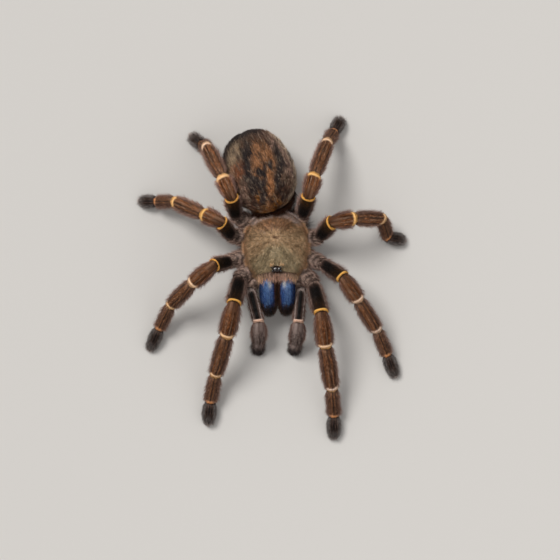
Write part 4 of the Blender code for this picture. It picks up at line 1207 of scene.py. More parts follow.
def round_sections(points, radii, up_hint):
    """Sections of a round tube that bends through the points."""
    sections = []
    for index, (point, radius) in enumerate(zip(points, radii)):
        along = points[min(index + 1, len(points) - 1)] - points[max(index - 1, 0)]
        sections.append(section(point, along, up_hint, radius, radius))
    return sections


def make_spinnerets():
    """The two long, jointed spinnerets under the rear of the abdomen."""
    place = abdomen_matrix()
    for name, side in SIDES.items():
        bm = bmesh.new()
        points = [place @ Vector((side * SPINNERET_X, y, z)) for y, z, _ in SPINNERET_STATIONS]
        radii = [SPINNERET_RADIUS * share for _, _, share in SPINNERET_STATIONS]
        swept(bm, round_sections(points, radii, UP), 20)
        coat = np.tile(BROWN_DARK, (len(bm.verts), 1))
        finished(f"{name}_spinneret_tube", bm, MATERIALS["skin"], f"{name}_spinneret", coat=coat)


# A claw: how far it reaches ahead and curves down, where its rings are, and their radii
CLAW_REACH = 0.0011
CLAW_DROP = 0.0006
CLAW_STEPS = (0, 0.35, 0.7, 1.0)
CLAW_RADII = (0.00014, 0.00012, 0.00008, 0.00002)


def make_claws():
    """Two small black claws at the tip of each leg."""
    bm = bmesh.new()
    for limb in LIMBS.values():
        _, along, side, up = limb.axes(len(limb.articles) - 1)
        tip = limb.joints[-1] - along * 0.0002
        for spread in (-1, 1):
            root = tip + side * (spread * 0.00028) + up * 0.00015
            points = [
                root + along * (CLAW_REACH * step) - up * (CLAW_DROP * step * step)
                for step in CLAW_STEPS
            ]
            for point in points:
                point.z = max(point.z, 0.0002)
            swept(bm, round_sections(points, CLAW_RADII, UP), 8)
    finished("claws", bm, MATERIALS["fang"])


def strand_template(rings):
    """A tapered three-sided hair of unit length and half width: points and triangles."""
    bm = bmesh.new()
    bmesh.ops.create_circle(bm, cap_ends=True, segments=3, radius=1.0)
    end = list(bm.faces)[0]
    for number in range(1, rings + 1):
        verts, end = pulled_out(bm, end)
        bmesh.ops.translate(bm, vec=(0, 0, 1 / rings), verts=verts)
        if number < rings:
            share = (1 - (number / rings) ** 2) / (1 - ((number - 1) / rings) ** 2)
            bmesh.ops.scale(bm, vec=(share, share, 1), verts=verts)
    bmesh.ops.pointmerge(bm, verts=verts, merge_co=Vector((0, 0, 1)))
    bmesh.ops.recalc_face_normals(bm, faces=bm.faces)
    bmesh.ops.triangulate(bm, faces=bm.faces)
    bm.verts.index_update()
    points = np.array([vert.co for vert in bm.verts])
    faces = np.array([[vert.index for vert in face.verts] for face in bm.faces])
    bm.free()
    return points, faces


def unit_rows(rows):
    return rows / np.maximum(np.linalg.norm(rows, axis=1), 1e-12)[:, None]


def swayed(lie, normal, amount):
    """Turns the lie of hairs sideways over the skin, each by its own amount."""
    return lie + np.cross(normal, lie) * amount[:, None]


# Brightness of a hair's colour at its root and at its tip: painted shade deep in the coat at the root, and
# painted light at the tip
SHADE = (0.40, 1.6)


class Hairs:
    """A growing list of hairs: roots, normals, lie, and what each one looks like."""

    def __init__(self):
        self.rows = {}

    def add(
        self, root, normal, lie, lean, flat, length, width, colour, unwrap, rings=1, shade=SHADE
    ):
        """lean and flat are a hair's rise above the skin at its root and its tip, radians.

        A hair of one ring is straight, and one of two bends.
        """
        count = len(root)
        columns = [root, unit_rows(normal), unit_rows(lie), lean, flat, length, width, colour, unwrap]
        wide = [np.broadcast_to(c, (count,)) if np.ndim(c) < 2 else c for c in columns]
        self.rows.setdefault((rings, shade), []).append(wide)

    def joined(self, kind):
        rows = self.rows[kind]
        return [np.concatenate([row[place] for row in rows]) for place in range(9)]


def grown(hairs, kind):
    """Points, corners, colours and unwrap of all the hairs of one kind."""
    rings, shade = kind
    root, normal, lie, lean, flat, length, width, colour, unwrap = hairs.joined(kind)
    points, faces = strand_template(rings)
    count, size = len(root), len(points)
    step = points[:, 2]
    start = lie * np.cos(lean)[:, None] + normal * np.sin(lean)[:, None]
    end = lie * np.cos(flat)[:, None] + normal * np.sin(flat)[:, None]
    side = unit_rows(np.cross(lie, normal))
    over = np.cross(side, start)
    bend = start[:, None, :] * (step - step**2 / 2)[None, :, None]
    bend = bend + end[:, None, :] * (step**2 / 2)[None, :, None]
    places = root[:, None, :] + bend * length[:, None, None]
    round_x = side[:, None, :] * points[None, :, 0, None]
    round_y = over[:, None, :] * points[None, :, 1, None]
    places = places + (round_x + round_y) * (width / 2)[:, None, None]
    places[..., 2] = np.maximum(places[..., 2], FLOOR_CLEARANCE)
    corners = (faces[None] + (np.arange(count) * size)[:, None, None]).reshape(-1)
    # Each hair darker at its root and lighter at its tip: painted shade and painted light of the coat
    level = shade[0] + (shade[1] - shade[0]) * step
    colours = (colour[:, None, :] * level[None, :, None]).reshape(-1, 3)
    colours = colours / np.maximum(colours.max(axis=1), 1.0)[:, None]
    patch = np.stack([points[:, 0] / 2, step - 0.5], axis=1) * PATCH
    spots = unwrap[:, None, :] * (1 - 2 * PATCH) + PATCH + patch[None]
    return places.reshape(-1, 3), corners, colours, spots.reshape(-1, 2)[corners]


def make_coat(name, hairs, surface):
    """One solid mesh of all the hairs, each a tapered strand bent along its lie."""
    groups = [grown(hairs, kind) for kind in sorted(hairs.rows)]
    starts = np.cumsum([0] + [len(group[0]) for group in groups])
    places = np.concatenate([group[0] for group in groups])
    corners = np.concatenate([group[1] + start for group, start in zip(groups, starts)])
    mesh = bpy.data.meshes.new(name)
    mesh.vertices.add(len(places))
    mesh.vertices.foreach_set("co", places.astype(np.float32).ravel())
    mesh.loops.add(len(corners))
    mesh.loops.foreach_set("vertex_index", corners.astype(np.int32))
    mesh.polygons.add(len(corners) // 3)
    mesh.polygons.foreach_set("loop_start", np.arange(0, len(corners), 3, dtype=np.int32))
    mesh.update(calc_edges=True)
    mesh.shade_smooth()
    paint(mesh, np.concatenate([group[2] for group in groups]))
    layer = mesh.uv_layers.new(name="OFBake")
    spots = np.concatenate([group[3] for group in groups])
    layer.uv.foreach_set("vector", spots.astype(np.float32).ravel())
    mesh.materials.append(surface)
    obj = placed(name, mesh)
    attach(obj, ROOT)


def coat_settings():
    return bpy.context.scene.spider_coat


# Hair length on the top of each article, and its rise above the skin there in degrees
ARTICLE_HAIR = {
    "coxa": (0.00055, 20),
    "femur": (0.00105, 16),
    "patella": (0.00145, 13),
    "tibia": (0.00155, 13),
    "metatarsus": (0.00135, 15),
    "tarsus": (0.00110, 24),
}


def in_tufts(draw, count, size):
    """Number of each hair's tuft, and how far it stands from the tuft's middle both ways."""
    tufts = max(1, count // size)
    return np.repeat(np.arange(tufts), size), draw.normal(0, 1, (tufts * size, 2))


def spread_on_limb(limb, index, count, draw, size):
    """Roots in tufts on one article: point, outward, share, turn, room to its end, tuft."""
    part = limb.articles[index]
    length, along, side, up = limb.arrays(index)
    ends = limb.ends_taken(index)
    tuft, stray = in_tufts(draw, count, size)
    count = len(tuft)
    reach = draw.uniform(-ends[0], length + ends[1], tuft[-1] + 1)[tuft] + stray[:, 0] * 0.00016
    turn = draw.uniform(-math.pi, math.pi, tuft[-1] + 1)[tuft]
    turn = (turn + stray[:, 1] * 0.035 + math.pi) % math.tau - math.pi
    share = np.clip(reach / length, 0, 1)
    half = half_width_at(limb.widths[part], share) - limb.depth(part) - HAIR_SINK
    tip = index == len(limb.articles) - 1
    if tip:
        left = np.clip((length - reach) / (0.9 * limb.widths[part][2]), 0, 1)
        half = half * np.sqrt(1 - (1 - left) ** 2)
    # The same side and upward axis as the skin's rings have, so that turns agree
    out = side * np.sin(turn)[:, None] + up * np.cos(turn)[:, None]
    root = np.array(limb.joints[index]) + along * reach[:, None] + out * half[:, None]
    room = np.full(count, 1.0)
    keep = np.ones(count, dtype=bool)
    for joint in (index, index + 1):
        if limb.bend(joint) is None:
            continue
        normal = np.array(limb.bend(joint))
        ahead = (np.array(limb.joints[joint]) - root) @ normal / (along @ normal)
        if joint == index:
            keep &= ahead < -0.00005
        else:
            keep &= ahead > 0.00005
            room = ahead
    if tip:
        room = np.maximum(length - reach, 0) + 0.0009
    return [value[keep] for value in (root, out, share, turn, room, tuft)], along


def add_limb_hairs(hairs, limb, index, fringe, draw, start, total):
    """One article's short fur or, as its fringe, the long bristles of its sides."""
    settings = coat_settings()
    part = limb.articles[index]
    length = limb.axes(index)[0]
    area = math.tau * limb.widths[part][1] * (length + 0.002) * 1e6
    density = settings.hairs_per_mm2 * (0.95 if fringe else 1.0)
    spots, along = spread_on_limb(limb, index, int(area * density), draw, 3 if fringe else 5)
    root, out, share, turn, room, tuft = spots
    count = len(root)
    bright, stray = draw.normal(0, 1, (2, tuft[-1] + 1))
    code = np.full(count, ARTICLE_CODE[part])
    lean_out = np.abs(turn)
    flank = smooth(0.7, 1.4, lean_out) * (1 - 0.6 * smooth(1.9, 2.6, lean_out))
    wander = 0.075 * stray[tuft] + draw.normal(0, 0.05, count)
    if part == "coxa":
        wander = wander * 2.5
    lie = swayed(along, out, np.tan(wander))

    usual, rise = ARTICLE_HAIR[part]
    long = (settings.fringe_length if fringe else usual) * (PALP_HAIR if limb.palp else 1.0)
    if fringe:
        size = long * draw.uniform(0.45, 1.2, count) * (0.7 + 0.3 * flank)
        if part in ("tarsus", "coxa") and not limb.palp:
            size = size * 0.7
        lean = np.radians(18 + 18 * flank) * draw.uniform(0.5, 1.5, count)
    else:
        size = long * draw.uniform(0.7, 1.15, count)
        lean = np.radians(rise + 10 * flank) * draw.uniform(0.4, 1.8, count)
    # Hairs of the top end at the band, and those of the flanks at the bend
    banded = band_share(limb, code) > 0.5
    free = room - band_middle(code, turn)
    limit = np.where(banded, free - (0 if fringe else 0.2) * BAND, room + 0.0006)
    if fringe:
        limit = np.where(banded & (lean_out > 1.0), room, limit)
    size = np.minimum(size, limit)
    keep = size > LEAST_HAIR
    if fringe:
        keep &= (lean_out < 2.4) & (draw.uniform(0, 1, count) < 0.1 + 0.9 * flank)

    colour = limb_colour(limb, code, share, turn, np.full(count, FAR_FROM_BAND), np.zeros(3))
    colour = colour * np.exp(0.30 * bright[tuft] + draw.normal(0, 0.22, count))[:, None]
    if fringe:
        side_tone = FOOT_BLUE if part == "tarsus" else FRINGE
        colour = blend(colour, side_tone, 0.03 + 0.55 * flank)
    if part in ("femur", "patella", "tibia") and not limb.palp:
        near = (0.12 if part == "femur" else 0.6) * (1 - smooth(0.0010, 0.0020, room))
        near = near * (1 - 0.7 * flank)
        colour = blend(colour, band_tone(limb, code), near * draw.uniform(0, 1, count))
    unwrap = np.stack([(start + share * length) / total, turn / math.tau + 0.5], axis=1)
    width = settings.hair_width * draw.uniform(0.8, 1.2, count) * (0.9 if fringe else 1.0)
    flat = lean * (0.5 if fringe else 0.15)
    picked = (root, out, lie, lean, flat, size, width, colour, unwrap)
    hairs.add(*(value[keep] for value in picked))


def make_limb_coat(limb):
    """Flat straight bristles along a limb, soft long ones at its sides, and its bands."""
    draw = np.random.default_rng([coat_settings().seed, list(LIMBS).index(limb.name)])
    hairs = Hairs()
    lengths = [limb.axes(index)[0] for index in range(len(limb.articles))]
    total = sum(lengths)
    gone = 0.0
    for index, (part, length) in enumerate(zip(limb.articles, lengths)):
        for fringe in (False, True):
            add_limb_hairs(hairs, limb, index, fringe, draw, gone, total)
        if band_share(limb, np.array([ARTICLE_CODE[part]]))[0] > 0:
            add_band(hairs, limb, index, draw, (gone + length) / total)
        gone += length
    make_coat(f"coat_{limb.name}", hairs, MATERIALS["hair"])


# Brightness of a band hair's colour at its root and at its tip: painted shade at the root, painted light at
# the tip
BAND_SHADE = (0.95, 1.3)


def add_band(hairs, limb, index, draw, place):
    """The dense collar of short pale hairs at the end of an article."""
    part = limb.articles[index]
    _, along, side, up = limb.arrays(index)
    normal = np.array(limb.bend(index + 1))
    faint = part == "metatarsus"
    count = 240 if faint else 1500
    turn = np.clip(draw.normal(0, 0.32 if faint else 1.0, count), -2.5, 2.5)
    out = side * np.sin(turn)[:, None] + up * np.cos(turn)[:, None]
    half = limb.widths[part][2] - limb.depth(part) + 0.5 * BAND_FLARE
    rim = np.array(limb.joints[index + 1]) + out * half
    back = (rim - np.array(limb.joints[index + 1])) @ normal / (along @ normal)
    code = np.full(count, ARTICLE_CODE[part])
    ragged = 0.00012 * ripple(turn, 5, 60 + index)
    depth = band_middle(code, turn) + ragged + draw.uniform(-0.2, 0.55, count) * band_width(code)
    root = rim - along * (back + depth)[:, None]
    lie = swayed(along, out, draw.normal(0, 0.28, count))
    lean = np.radians(draw.uniform(4, 38, count))
    size = draw.uniform(0.45, 1.2, count) * (0.0004 if faint else 0.00060)
    colour = band_tone(limb, code)
    # The far half of a front band is yellow, and the near half pale
    warm = smooth(-0.3, 0.1, (band_middle(code, turn) - depth) / BAND)
    warm = warm * (part in ("patella", "tibia"))
    colour = blend(colour, chosen("band"), (0.7 if limb.pair == "1" else 0.2) * warm)
    colour = colour * draw.uniform(0.75, 1.6, count)[:, None]
    unwrap = np.stack([np.full(count, place), turn / math.tau + 0.5], axis=1)
    hairs.add(root, out, lie, lean, lean * 0.3, size, STOUT_HAIR, colour, unwrap, shade=BAND_SHADE)


# Short fur, long bristles and the dark bristles under the front: count on each side, length,
# rise in degrees, sway, how far rearward they reach along the body, and how far from the top
# they begin, in radians
ABDOMEN_HAIR = (
    (25000, 0.00105, 16, 0.12, 0.985, 0.0),
    (5200, 0.0021, 25, 0.22, 0.985, 0.0),
    (1000, 0.0016, 60, 0.35, -0.71, 1.30),
)
# From this length on, the abdomen's hairs count as long bristles
LONG_HAIR = 0.0015


def add_abdomen_hairs(hairs, draw, turns, count, usual, rise, spread, end):
    """One kind of hair between two turns round the abdomen, whose long axis is the pole."""
    long_hair = usual > LONG_HAIR
    tuft, stray = in_tufts(draw, count, 4)
    count = len(tuft)
    bright, sway = draw.normal(0, 1, (2, tuft[-1] + 1))
    level = draw.uniform(-1, end, tuft[-1] + 1)[tuft]
    turn = draw.uniform(*turns, tuft[-1] + 1)[tuft]
    level = np.clip(level + stray[:, 0] * 0.010, -1, 0.99)
    turn = turn + stray[:, 1] * 0.012 / np.sqrt(1.02 - level**2)
    around = np.sqrt(1 - level**2)
    units = np.stack([around * np.sin(turn), level, around * np.cos(turn)], axis=1)
    points, normals = abdomen_surface(units)
    rearward = np.array([0.0, 1.0, 0.0]) - normals * normals[:, 1:2]
    lie = unit_rows(rearward + 1e-6)
    # Under the front edge the long hairs point ahead, over the waist, and are dark brown: dark hair with
    # painted shade of the gap there
    ahead = (level < -0.70) & (points[:, 2] < 0.15 * ABDOMEN_HALF.z) & long_hair
    lie = np.where(ahead[:, None], -lie, lie)
    lie = swayed(lie, normals, spread * sway[tuft] + draw.normal(0, 0.08, count))
    rear = smooth(0.55, 0.95, level)
    size = usual * draw.uniform(0.65, 1.1, count) * (1 - 0.5 * rear) * (1 + 0.9 * ahead)
    lean = np.radians(rise) * draw.uniform(0.5, 1.5, count)
    shine = np.exp(0.30 * bright[tuft] + draw.normal(0, 0.30, count))
    colour = abdomen_colour(points) * shine[:, None]
    if long_hair:
        colour = blend(colour, PALE_EDGE, 0.05 * draw.uniform(0, 1, count) ** 2)
        # Their dark brown is partly the hairs' own colour and partly painted shade over the waist
        colour = np.where(ahead[:, None], BROWN_DARK, colour)
    unwrap = np.stack([level / 2 + 0.5, turn / math.tau + 0.5], axis=1)
    width = (FINE_HAIR if long_hair else STOUT_HAIR) * draw.uniform(0.75, 1.2, count)
    place = np.array(abdomen_matrix())
    turned, moved = place[:3, :3].T, place[:3, 3]
    root = (points - normals * (ABDOMEN_DEPTH + 0.00006)) @ turned + moved
    hairs.add(root, normals @ turned, lie @ turned, lean, lean * 0.25, size, width, colour, unwrap)


def make_abdomen_coat():
    """Fur that lies rearward over the abdomen, with longer bristles standing out of it."""
    draw = np.random.default_rng([coat_settings().seed, 50])
    for part in (0, 1):
        hairs = Hairs()
        for *look, top in ABDOMEN_HAIR:
            turns = ((-math.pi, -top), (top, math.pi))[part]
            add_abdomen_hairs(hairs, draw, turns, *look)
        make_coat(f"coat_abdomen_{part + 1}", hairs, MATERIALS["hair"])


def carapace_normals(x, y):
    step = 0.00005
    slope_x = (carapace_height(x + step, y) - carapace_height(x - step, y)) / (2 * step)
    slope_y = (carapace_height(x, y + step) - carapace_height(x, y - step)) / (2 * step)
    return unit_rows(np.stack([-slope_x, -slope_y, np.ones_like(x)], axis=1))


# Brightness of a hair's colour at its root and at its tip, over the shell and at its margin: painted shade
# at the root and painted light at the tip
SHELL_SHADE = (0.55, 1.5)
MARGIN_SHADE = (0.7, 1.5)
# Width and length of the field that the carapace's unwrap covers
CARAPACE_FIELD = (0.017, 0.0185)


def placed_rows(x, y, z):
    """Points of the body frame as rows in the world."""
    return np.stack([x, y, z], axis=1) + np.array(ORIGIN)


def carapace_unwrap(x, y):
    return np.stack([x / CARAPACE_FIELD[0] + 0.5, y / CARAPACE_FIELD[1] + 0.5], axis=1)


def around_carapace(turn, share, front_y):
    """Places at a share of the way to the outline, behind a line, and their way outward."""
    out = np.stack([np.cos(turn), np.sin(turn), np.zeros(len(turn))], axis=1)
    edge = share / planform_radius(out[:, 0], out[:, 1] + CARAPACE_WIDEST_Y)
    x, y = out[:, 0] * edge, out[:, 1] * edge + CARAPACE_WIDEST_Y
    keep = y > front_y
    return x[keep], y[keep], out[keep]


def add_shell_hairs(hairs, draw):
    """Short flat hairs that radiate from the fovea."""
    tuft, stray = in_tufts(draw, 26000, 3)
    bright = draw.normal(0, 1, tuft[-1] + 1)
    reach = np.sqrt(draw.uniform(0, 1, tuft[-1] + 1)) * SHELL_SHARE
    turn = draw.uniform(-math.pi, math.pi, tuft[-1] + 1)[tuft] + stray[:, 0] * 0.012 / reach[tuft]
    reach = np.clip(reach[tuft] + stray[:, 1] * 0.012, 0, SHELL_SHARE)
    out_x, out_y = np.cos(turn), np.sin(turn)
    edge = reach / planform_radius(out_x, out_y + CARAPACE_WIDEST_Y)
    x, y = out_x * edge, out_y * edge + CARAPACE_WIDEST_Y
    mound = np.hypot(x / 0.0012, (y - EYE_MOUND_Y) / 0.0009)
    keep = (y > CLYPEUS_Y + 0.0002) & (mound > 1.0)
    x, y, bright = x[keep], y[keep], bright[tuft][keep]
    count = len(x)
    normal = carapace_normals(x, y)
    z = carapace_height(x, y) - SHELL_DEPTH - 0.00004
    lie = np.stack([x, y - FOVEA_Y, np.zeros(count)], axis=1)
    lie[:, 1] -= 0.0012 * (y < FOVEA_Y)
    lie = unit_rows(lie)
    lie = unit_rows(lie - normal * np.sum(lie * normal, axis=1)[:, None])
    lie = swayed(lie, normal, draw.normal(0, 0.3, count))
    edge = planform_radius(x, y)
    size = draw.uniform(0.0004, 0.00085, count) * (1 + 0.6 * smooth(0.75, 0.95, edge))
    lean = np.radians(draw.uniform(6, 24, count) + 10 * smooth(0.8, 0.95, edge))
    colour = carapace_colour(x, y) * np.exp(0.30 * bright + draw.normal(0, 0.30, count))[:, None]
    root, unwrap = placed_rows(x, y, z), carapace_unwrap(x, y)
    hairs.add(root, normal, lie, lean, lean * 0.2, size, 0.00009, colour, unwrap, shade=SHELL_SHADE)


def add_rim_hairs(hairs, draw):
    """Fine pink and tan hairs all round the margin, in pale tufts at the rear."""
    x, y, out = around_carapace(draw.uniform(-math.pi, math.pi, 5200), 0.975, CLYPEUS_Y)
    count = len(x)
    z = CARAPACE_UNDERSIDE_Z + draw.uniform(0.1, 0.9, count) * CARAPACE_MARGIN
    up = np.tile((0.0, 0.0, 1.0), (count, 1))
    lie = swayed(out, up, draw.normal(0, 0.35, count))
    rear = smooth(0.0055, 0.0068, y)
    tufts = line_at(x, 0.0020, 0.0011) + 0.7 * line_at(x, -0.0007, 0.0008)
    tufts = tufts + 0.6 * line_at(x, -0.0040, 0.0012)
    size = draw.uniform(0.0006, 0.0014, count) * (1 + 0.5 * rear * tufts)
    lean = np.radians(draw.uniform(-15, 25, count) + 38 * rear)
    colour = blend(RIM_TAN, REAR_PALE * (0.45 + 1.1 * tufts[:, None]), rear)
    colour = colour * draw.uniform(0.7, 1.6, count)[:, None]
    root, unwrap = placed_rows(x, y, z), carapace_unwrap(x, y)
    hairs.add(root, up, lie, lean, lean * 0.5, size, FINE_HAIR, colour, unwrap, shade=MARGIN_SHADE)


def add_hairs_under_rim(hairs, draw):
    """Dark hairs under the margin, which close the gaps between the legs' roots; their dark brown is partly
    the hairs' own colour and partly painted shade of these gaps.
    """
    turn = draw.uniform(-math.pi, math.pi, 3600)
    x, y, out = around_carapace(turn, draw.uniform(0.86, 0.98, 3600), CLYPEUS_Y + 0.0008)
    count = len(x)
    z = CARAPACE_UNDERSIDE_Z - draw.uniform(0, 0.0016, count)
    up = np.tile((0.0, 0.0, 1.0), (count, 1))
    lie = swayed(out, up, draw.normal(0, 0.5, count))
    size = draw.uniform(0.0014, 0.0027, count) * (1 + 0.8 * smooth(0.0035, 0.0055, y))
    lean = np.radians(draw.uniform(-30, 4, count))
    colour = BROWN_DARK * draw.uniform(0.4, 1.5, count)[:, None]
    root, unwrap = placed_rows(x, y, z), carapace_unwrap(x, y)
    hairs.add(root, up, lie, lean, lean * 0.6, size, STOUT_HAIR, colour, unwrap)


# Bent tufts of the head: middle, half spread, number of hairs, way they lean, colour, length,
# and droop of the tips in degrees. The first is the front edge over the jaws.
HEAD_TUFTS = (
    ((0, CLYPEUS_Y + 0.00030), (0.0050, 0.00030), 3000, (0, -1, 0.65), CLYPEUS_PINK, 0.0021, -25),
    ((0.0013, -0.0050), (0.0005, 0.0003), 330, (0.1, 0.7, 1), GOLD_LIGHT, 0.0009, 30),
    ((-0.0012, -0.0050), (0.0005, 0.0003), 330, (-0.1, 0.7, 1), GOLD_LIGHT, 0.0009, 30),
)


def add_head_tufts(hairs, draw):
    """The arched fringe over the jaws, and the two tan tufts behind the eyes."""
    for centre, spread, number, pull, shade, long, droop in HEAD_TUFTS:
        tuft, stray = in_tufts(draw, number, 5)
        number = len(tuft)
        bright = draw.normal(0, 1, tuft[-1] + 1)[tuft]
        x = centre[0] + draw.uniform(-1, 1, tuft[-1] + 1)[tuft] * spread[0] + stray[:, 0] * 0.00007
        arch = 0.0006 * (1 - (x / 0.0052) ** 2) * (spread[0] > 0.001)
        y = centre[1] + draw.uniform(-1, 1, number) * spread[1]
        y = y + arch * draw.uniform(-0.5, 1.5, number)
        z = carapace_height(x, y) - SHELL_DEPTH
        lie = np.array(pull, dtype=float) + draw.normal(0, 0.13, (number, 3))
        size = long * draw.uniform(0.45, 1.1, number) * np.exp(0.25 * bright)
        lean = np.radians(draw.uniform(0, 30, number))
        colour = blend(shade, RIM_TAN * 0.5, 0.7 * smooth(0.0018, 0.0044, np.abs(x)))
        colour = blend(colour, RUFOUS_DARK * 0.7, 0.5 * (1 - smooth(0.0002, 0.0006, np.abs(x))))
        colour = colour * np.exp(0.45 * bright + draw.normal(-0.40, 0.40, number))[:, None]
        root, normal, unwrap = placed_rows(x, y, z), carapace_normals(x, y), carapace_unwrap(x, y)
        flat = math.radians(droop)
        hairs.add(root, normal, lie, lean, flat, size, STOUT_HAIR, colour, unwrap, rings=2)


def make_carapace_coat():
    """Short hairs of the shell, its pale rim, what hangs under it, and the head's tufts."""
    draw = np.random.default_rng([coat_settings().seed, 60])
    hairs = Hairs()
    for add in (add_shell_hairs, add_rim_hairs, add_hairs_under_rim, add_head_tufts):
        add(hairs, draw)
    make_coat("coat_carapace", hairs, MATERIALS["hair"])


def jaw_places(side, share, turn):
    """Points on a jaw, their way outward and the way to the jaw's end."""
    stack = np.array([np.array(lay) for lay in chelicera_sections(side)])
    steps = len(stack) - 1
    low = np.minimum((share * steps).astype(int), steps - 1)
    part = share * steps - low
    lay = stack[low] * (1 - part)[:, None, None] + stack[low + 1] * part[:, None, None]
    circle = np.stack([np.sin(turn), np.cos(turn), np.zeros_like(turn), np.ones_like(turn)], axis=1)
    point = np.einsum("nij,nj->ni", lay, circle)[:, :3]
    along = unit_rows(stack[low + 1][:, :3, 3] - stack[low][:, :3, 3])
    return point, unit_rows(point - lay[:, :3, 3]), along


# Kind, count, length, where they stand along the jaw, and rise above it in degrees
JAW_HAIR = (
    ("blue", 11000, 0.0006, (0.02, 0.97), (6, 24)),
    ("front", 2000, 0.0013, (0.60, 0.98), (14, 46)),
    ("inner", 2400, 0.0009, (0.03, 0.97), (30, 75)),
)
# Brightness of a fringe hair's colour at its root and at its tip: painted shade at the root, painted light
# at the tip
FRINGE_SHADE = (0.5, 1.2)


def add_jaw_hairs(hairs, draw, side, kind, count, usual, shares, rises):
    share = draw.uniform(*shares, count)
    turn = draw.uniform(-math.pi, math.pi, count)
    if kind == "inner":
        turn = side * draw.normal(1.35, 0.30, count)
    point, out, along = jaw_places(side, share, turn)
    lie = swayed(along, out, draw.normal(0, 0.2, count))
    size = usual * draw.uniform(0.6, 1.1, count)
    lean = np.radians(draw.uniform(*rises, count))
    if kind == "blue":
        lean = lean + np.radians(24) * smooth(0.8, 1.3, -turn * side)
        # The blue hairs carry the jaw's painted light, painted shade, sheen and glint
        colour = jaw_tone(side, turn, share) * draw.uniform(0.6, 1.6, count)[:, None]
    else:
        colour = NEAR_BLACK * draw.uniform(0.8, 3.0, count)[:, None]
        brown_hair = draw.uniform(0, 1, count) < (0.45 if kind == "inner" else 0.25)
        colour = blend(colour, RUFOUS_DARK, 0.7 * brown_hair)
    root, unwrap = point - out * HAIR_SINK, np.stack([share, turn / math.tau + 0.5], axis=1)
    shade = SHADE if kind == "blue" else FRINGE_SHADE
    hairs.add(root, out, lie, lean, lean * 0.4, size, FINE_HAIR, colour, unwrap, shade=shade)


def make_jaw_coats():
    """Short glossy blue hairs on the jaws, and the black fringe at their ends and between."""
    draw = np.random.default_rng([coat_settings().seed, 70])
    for name, side in SIDES.items():
        hairs = Hairs()
        for look in JAW_HAIR:
            add_jaw_hairs(hairs, draw, side, *look)
        make_coat(f"coat_{name}_jaw", hairs, MATERIALS["blue"])


# The place that the camera looks straight down on, its turn in degrees, and its sensor in mm
CAMERA_OVER = (0.00167, -0.00032)
CAMERA_ROLL = -1.5
SENSOR_WIDTH = 36.0
FLOOR_HALF = 3.0


def make_stage():
    """Floor, camera and soft studio light."""
    settings = bpy.context.scene.spider_stage
    bm = bmesh.new()
    bmesh.ops.create_grid(bm, x_segments=2, y_segments=2, size=FLOOR_HALF)
    mesh = bpy.data.meshes.new("floor")
    bm.to_mesh(mesh)
    bm.free()
    floor = placed("floor", mesh)
    # Paper: matt and even, so that it only takes the shadow
    paper, _, shader = material("matt_paper", Roughness=0.9, Specular_IOR_Level=0.2)
    shader.inputs["Base Color"].default_value = (*settings.floor_colour, 1)
    mesh.materials.append(paper)

    camera = placed("camera", bpy.data.cameras.new("camera"))
    camera.data.sensor_width = SENSOR_WIDTH
    camera.data.lens = SENSOR_WIDTH * settings.camera_height / settings.frame_width
    camera.data.clip_start = 0.01
    camera.location = (*CAMERA_OVER, settings.camera_height)
    camera.rotation_euler = (0, 0, math.radians(CAMERA_ROLL))
    bpy.context.scene.camera = camera

    for name, kind, place, size, power in (
        ("key", "SUN", (-0.30, 0.36, 0.60), 0.45, settings.key_strength),
        ("fill", "AREA", (0.42, -0.25, 0.45), 0.5, settings.fill_power),
    ):
        light = bpy.data.lights.new(name, kind)
        light.energy = power
        if kind == "SUN":
            light.angle = size
        else:
            light.size = size
        lamp = placed(name, light)
        lamp.location = place
        lamp.rotation_euler = Vector(place).to_track_quat("Z", "Y").to_euler()
    world = bpy.data.worlds.new("studio")
    world.use_nodes = True
    sky = world.node_tree.nodes["Background"]
    sky.inputs["Color"].default_value = (*linear("#e8e8ea"), 1)
    sky.inputs["Strength"].default_value = 0.5
    bpy.context.scene.world = world
    bpy.context.scene.view_settings.view_transform = "Standard"


def ready():
    """The materials, made once."""
    if not MATERIALS:
        MATERIALS.update(make_materials())


class SPIDER_OT_skin(bpy.types.Operator):
    """Builds the skin of the legs, palps, abdomen and waist"""

    bl_idname = "spider.skin"
    bl_label = "Skin"

    def execute(self, context):
        ready()
        make_skin()
        return {"FINISHED"}


class SPIDER_OT_carapace(bpy.types.Operator):
    """Builds the carapace's shell and its short hairs"""

    bl_idname = "spider.carapace"
    bl_label = "Carapace"

    def execute(self, context):
        ready()
        make_carapace()
        make_carapace_coat()
        return {"FINISHED"}


class SPIDER_OT_eyes(bpy.types.Operator):
    """Builds the eye mound and the eight eyes"""

    bl_idname = "spider.eyes"
    bl_label = "Eyes"

    def execute(self, context):
        ready()
        make_eyes()
        return {"FINISHED"}


class SPIDER_OT_jaws(bpy.types.Operator):
    """Builds the blue jaws, their fangs and their hairs"""

    bl_idname = "spider.jaws"
    bl_label = "Jaws"

    def execute(self, context):
        ready()
        make_jaws()
        make_jaw_coats()
        return {"FINISHED"}


class SPIDER_OT_small_parts(bpy.types.Operator):
    """Builds the spinnerets and the claws"""

    bl_idname = "spider.small_parts"
    bl_label = "Spinnerets and claws"

    def execute(self, context):
        ready()
        make_spinnerets()
        make_claws()
        return {"FINISHED"}


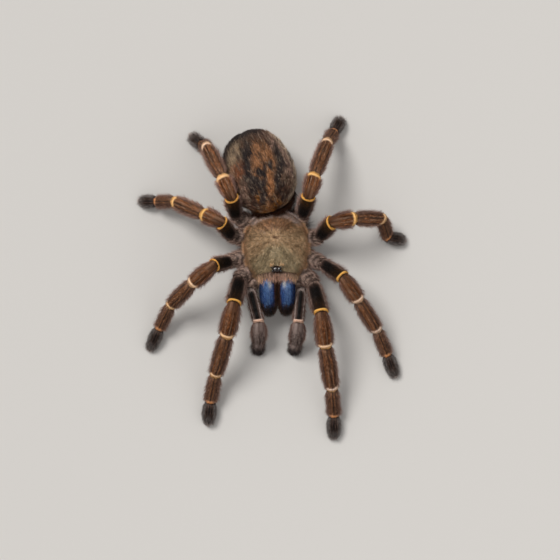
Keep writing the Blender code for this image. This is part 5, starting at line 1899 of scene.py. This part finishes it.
class SPIDER_OT_limb_coats(bpy.types.Operator):
    """Grows the coat of each leg and palp"""

    bl_idname = "spider.limb_coats"
    bl_label = "Leg coats"

    def execute(self, context):
        ready()
        for limb in LIMBS.values():
            make_limb_coat(limb)
        return {"FINISHED"}


class SPIDER_OT_abdomen_coat(bpy.types.Operator):
    """Grows the fur of the abdomen"""

    bl_idname = "spider.abdomen_coat"
    bl_label = "Abdomen fur"

    def execute(self, context):
        ready()
        make_abdomen_coat()
        return {"FINISHED"}


class SPIDER_OT_stage(bpy.types.Operator):
    """Sets the floor, the camera and the lights"""

    bl_idname = "spider.stage"
    bl_label = "Stage"

    def execute(self, context):
        ready()
        make_stage()
        return {"FINISHED"}


class SPIDER_PT_panel(bpy.types.Panel):
    """Lists the settings and the steps"""

    bl_idname = "SPIDER_PT_panel"
    bl_label = "Blue fang tarantula"
    bl_space_type = "VIEW_3D"
    bl_region_type = "UI"
    bl_category = "Spider"

    def draw(self, context):
        for group in (context.scene.spider_coat, context.scene.spider_stage):
            for name in group.__annotations__:
                self.layout.prop(group, name)
        for step in STEPS:
            self.layout.operator(step.bl_idname)


STEPS = (
    SPIDER_OT_skin,
    SPIDER_OT_carapace,
    SPIDER_OT_eyes,
    SPIDER_OT_jaws,
    SPIDER_OT_small_parts,
    SPIDER_OT_limb_coats,
    SPIDER_OT_abdomen_coat,
    SPIDER_OT_stage,
)
CLASSES = (SpiderCoatSettings, SpiderStageSettings, *STEPS, SPIDER_PT_panel)


def register():
    for cls in CLASSES:
        bpy.utils.register_class(cls)
    bpy.types.Scene.spider_coat = bpy.props.PointerProperty(type=SpiderCoatSettings)
    bpy.types.Scene.spider_stage = bpy.props.PointerProperty(type=SpiderStageSettings)


def unregister():
    del bpy.types.Scene.spider_stage
    del bpy.types.Scene.spider_coat
    for cls in reversed(CLASSES):
        bpy.utils.unregister_class(cls)


def main():
    register()
    bpy.ops.spider.skin()
    bpy.ops.spider.carapace()
    bpy.ops.spider.eyes()
    bpy.ops.spider.jaws()
    bpy.ops.spider.small_parts()
    bpy.ops.spider.limb_coats()
    bpy.ops.spider.abdomen_coat()
    bpy.ops.spider.stage()


if __name__ == "__main__":
    main()
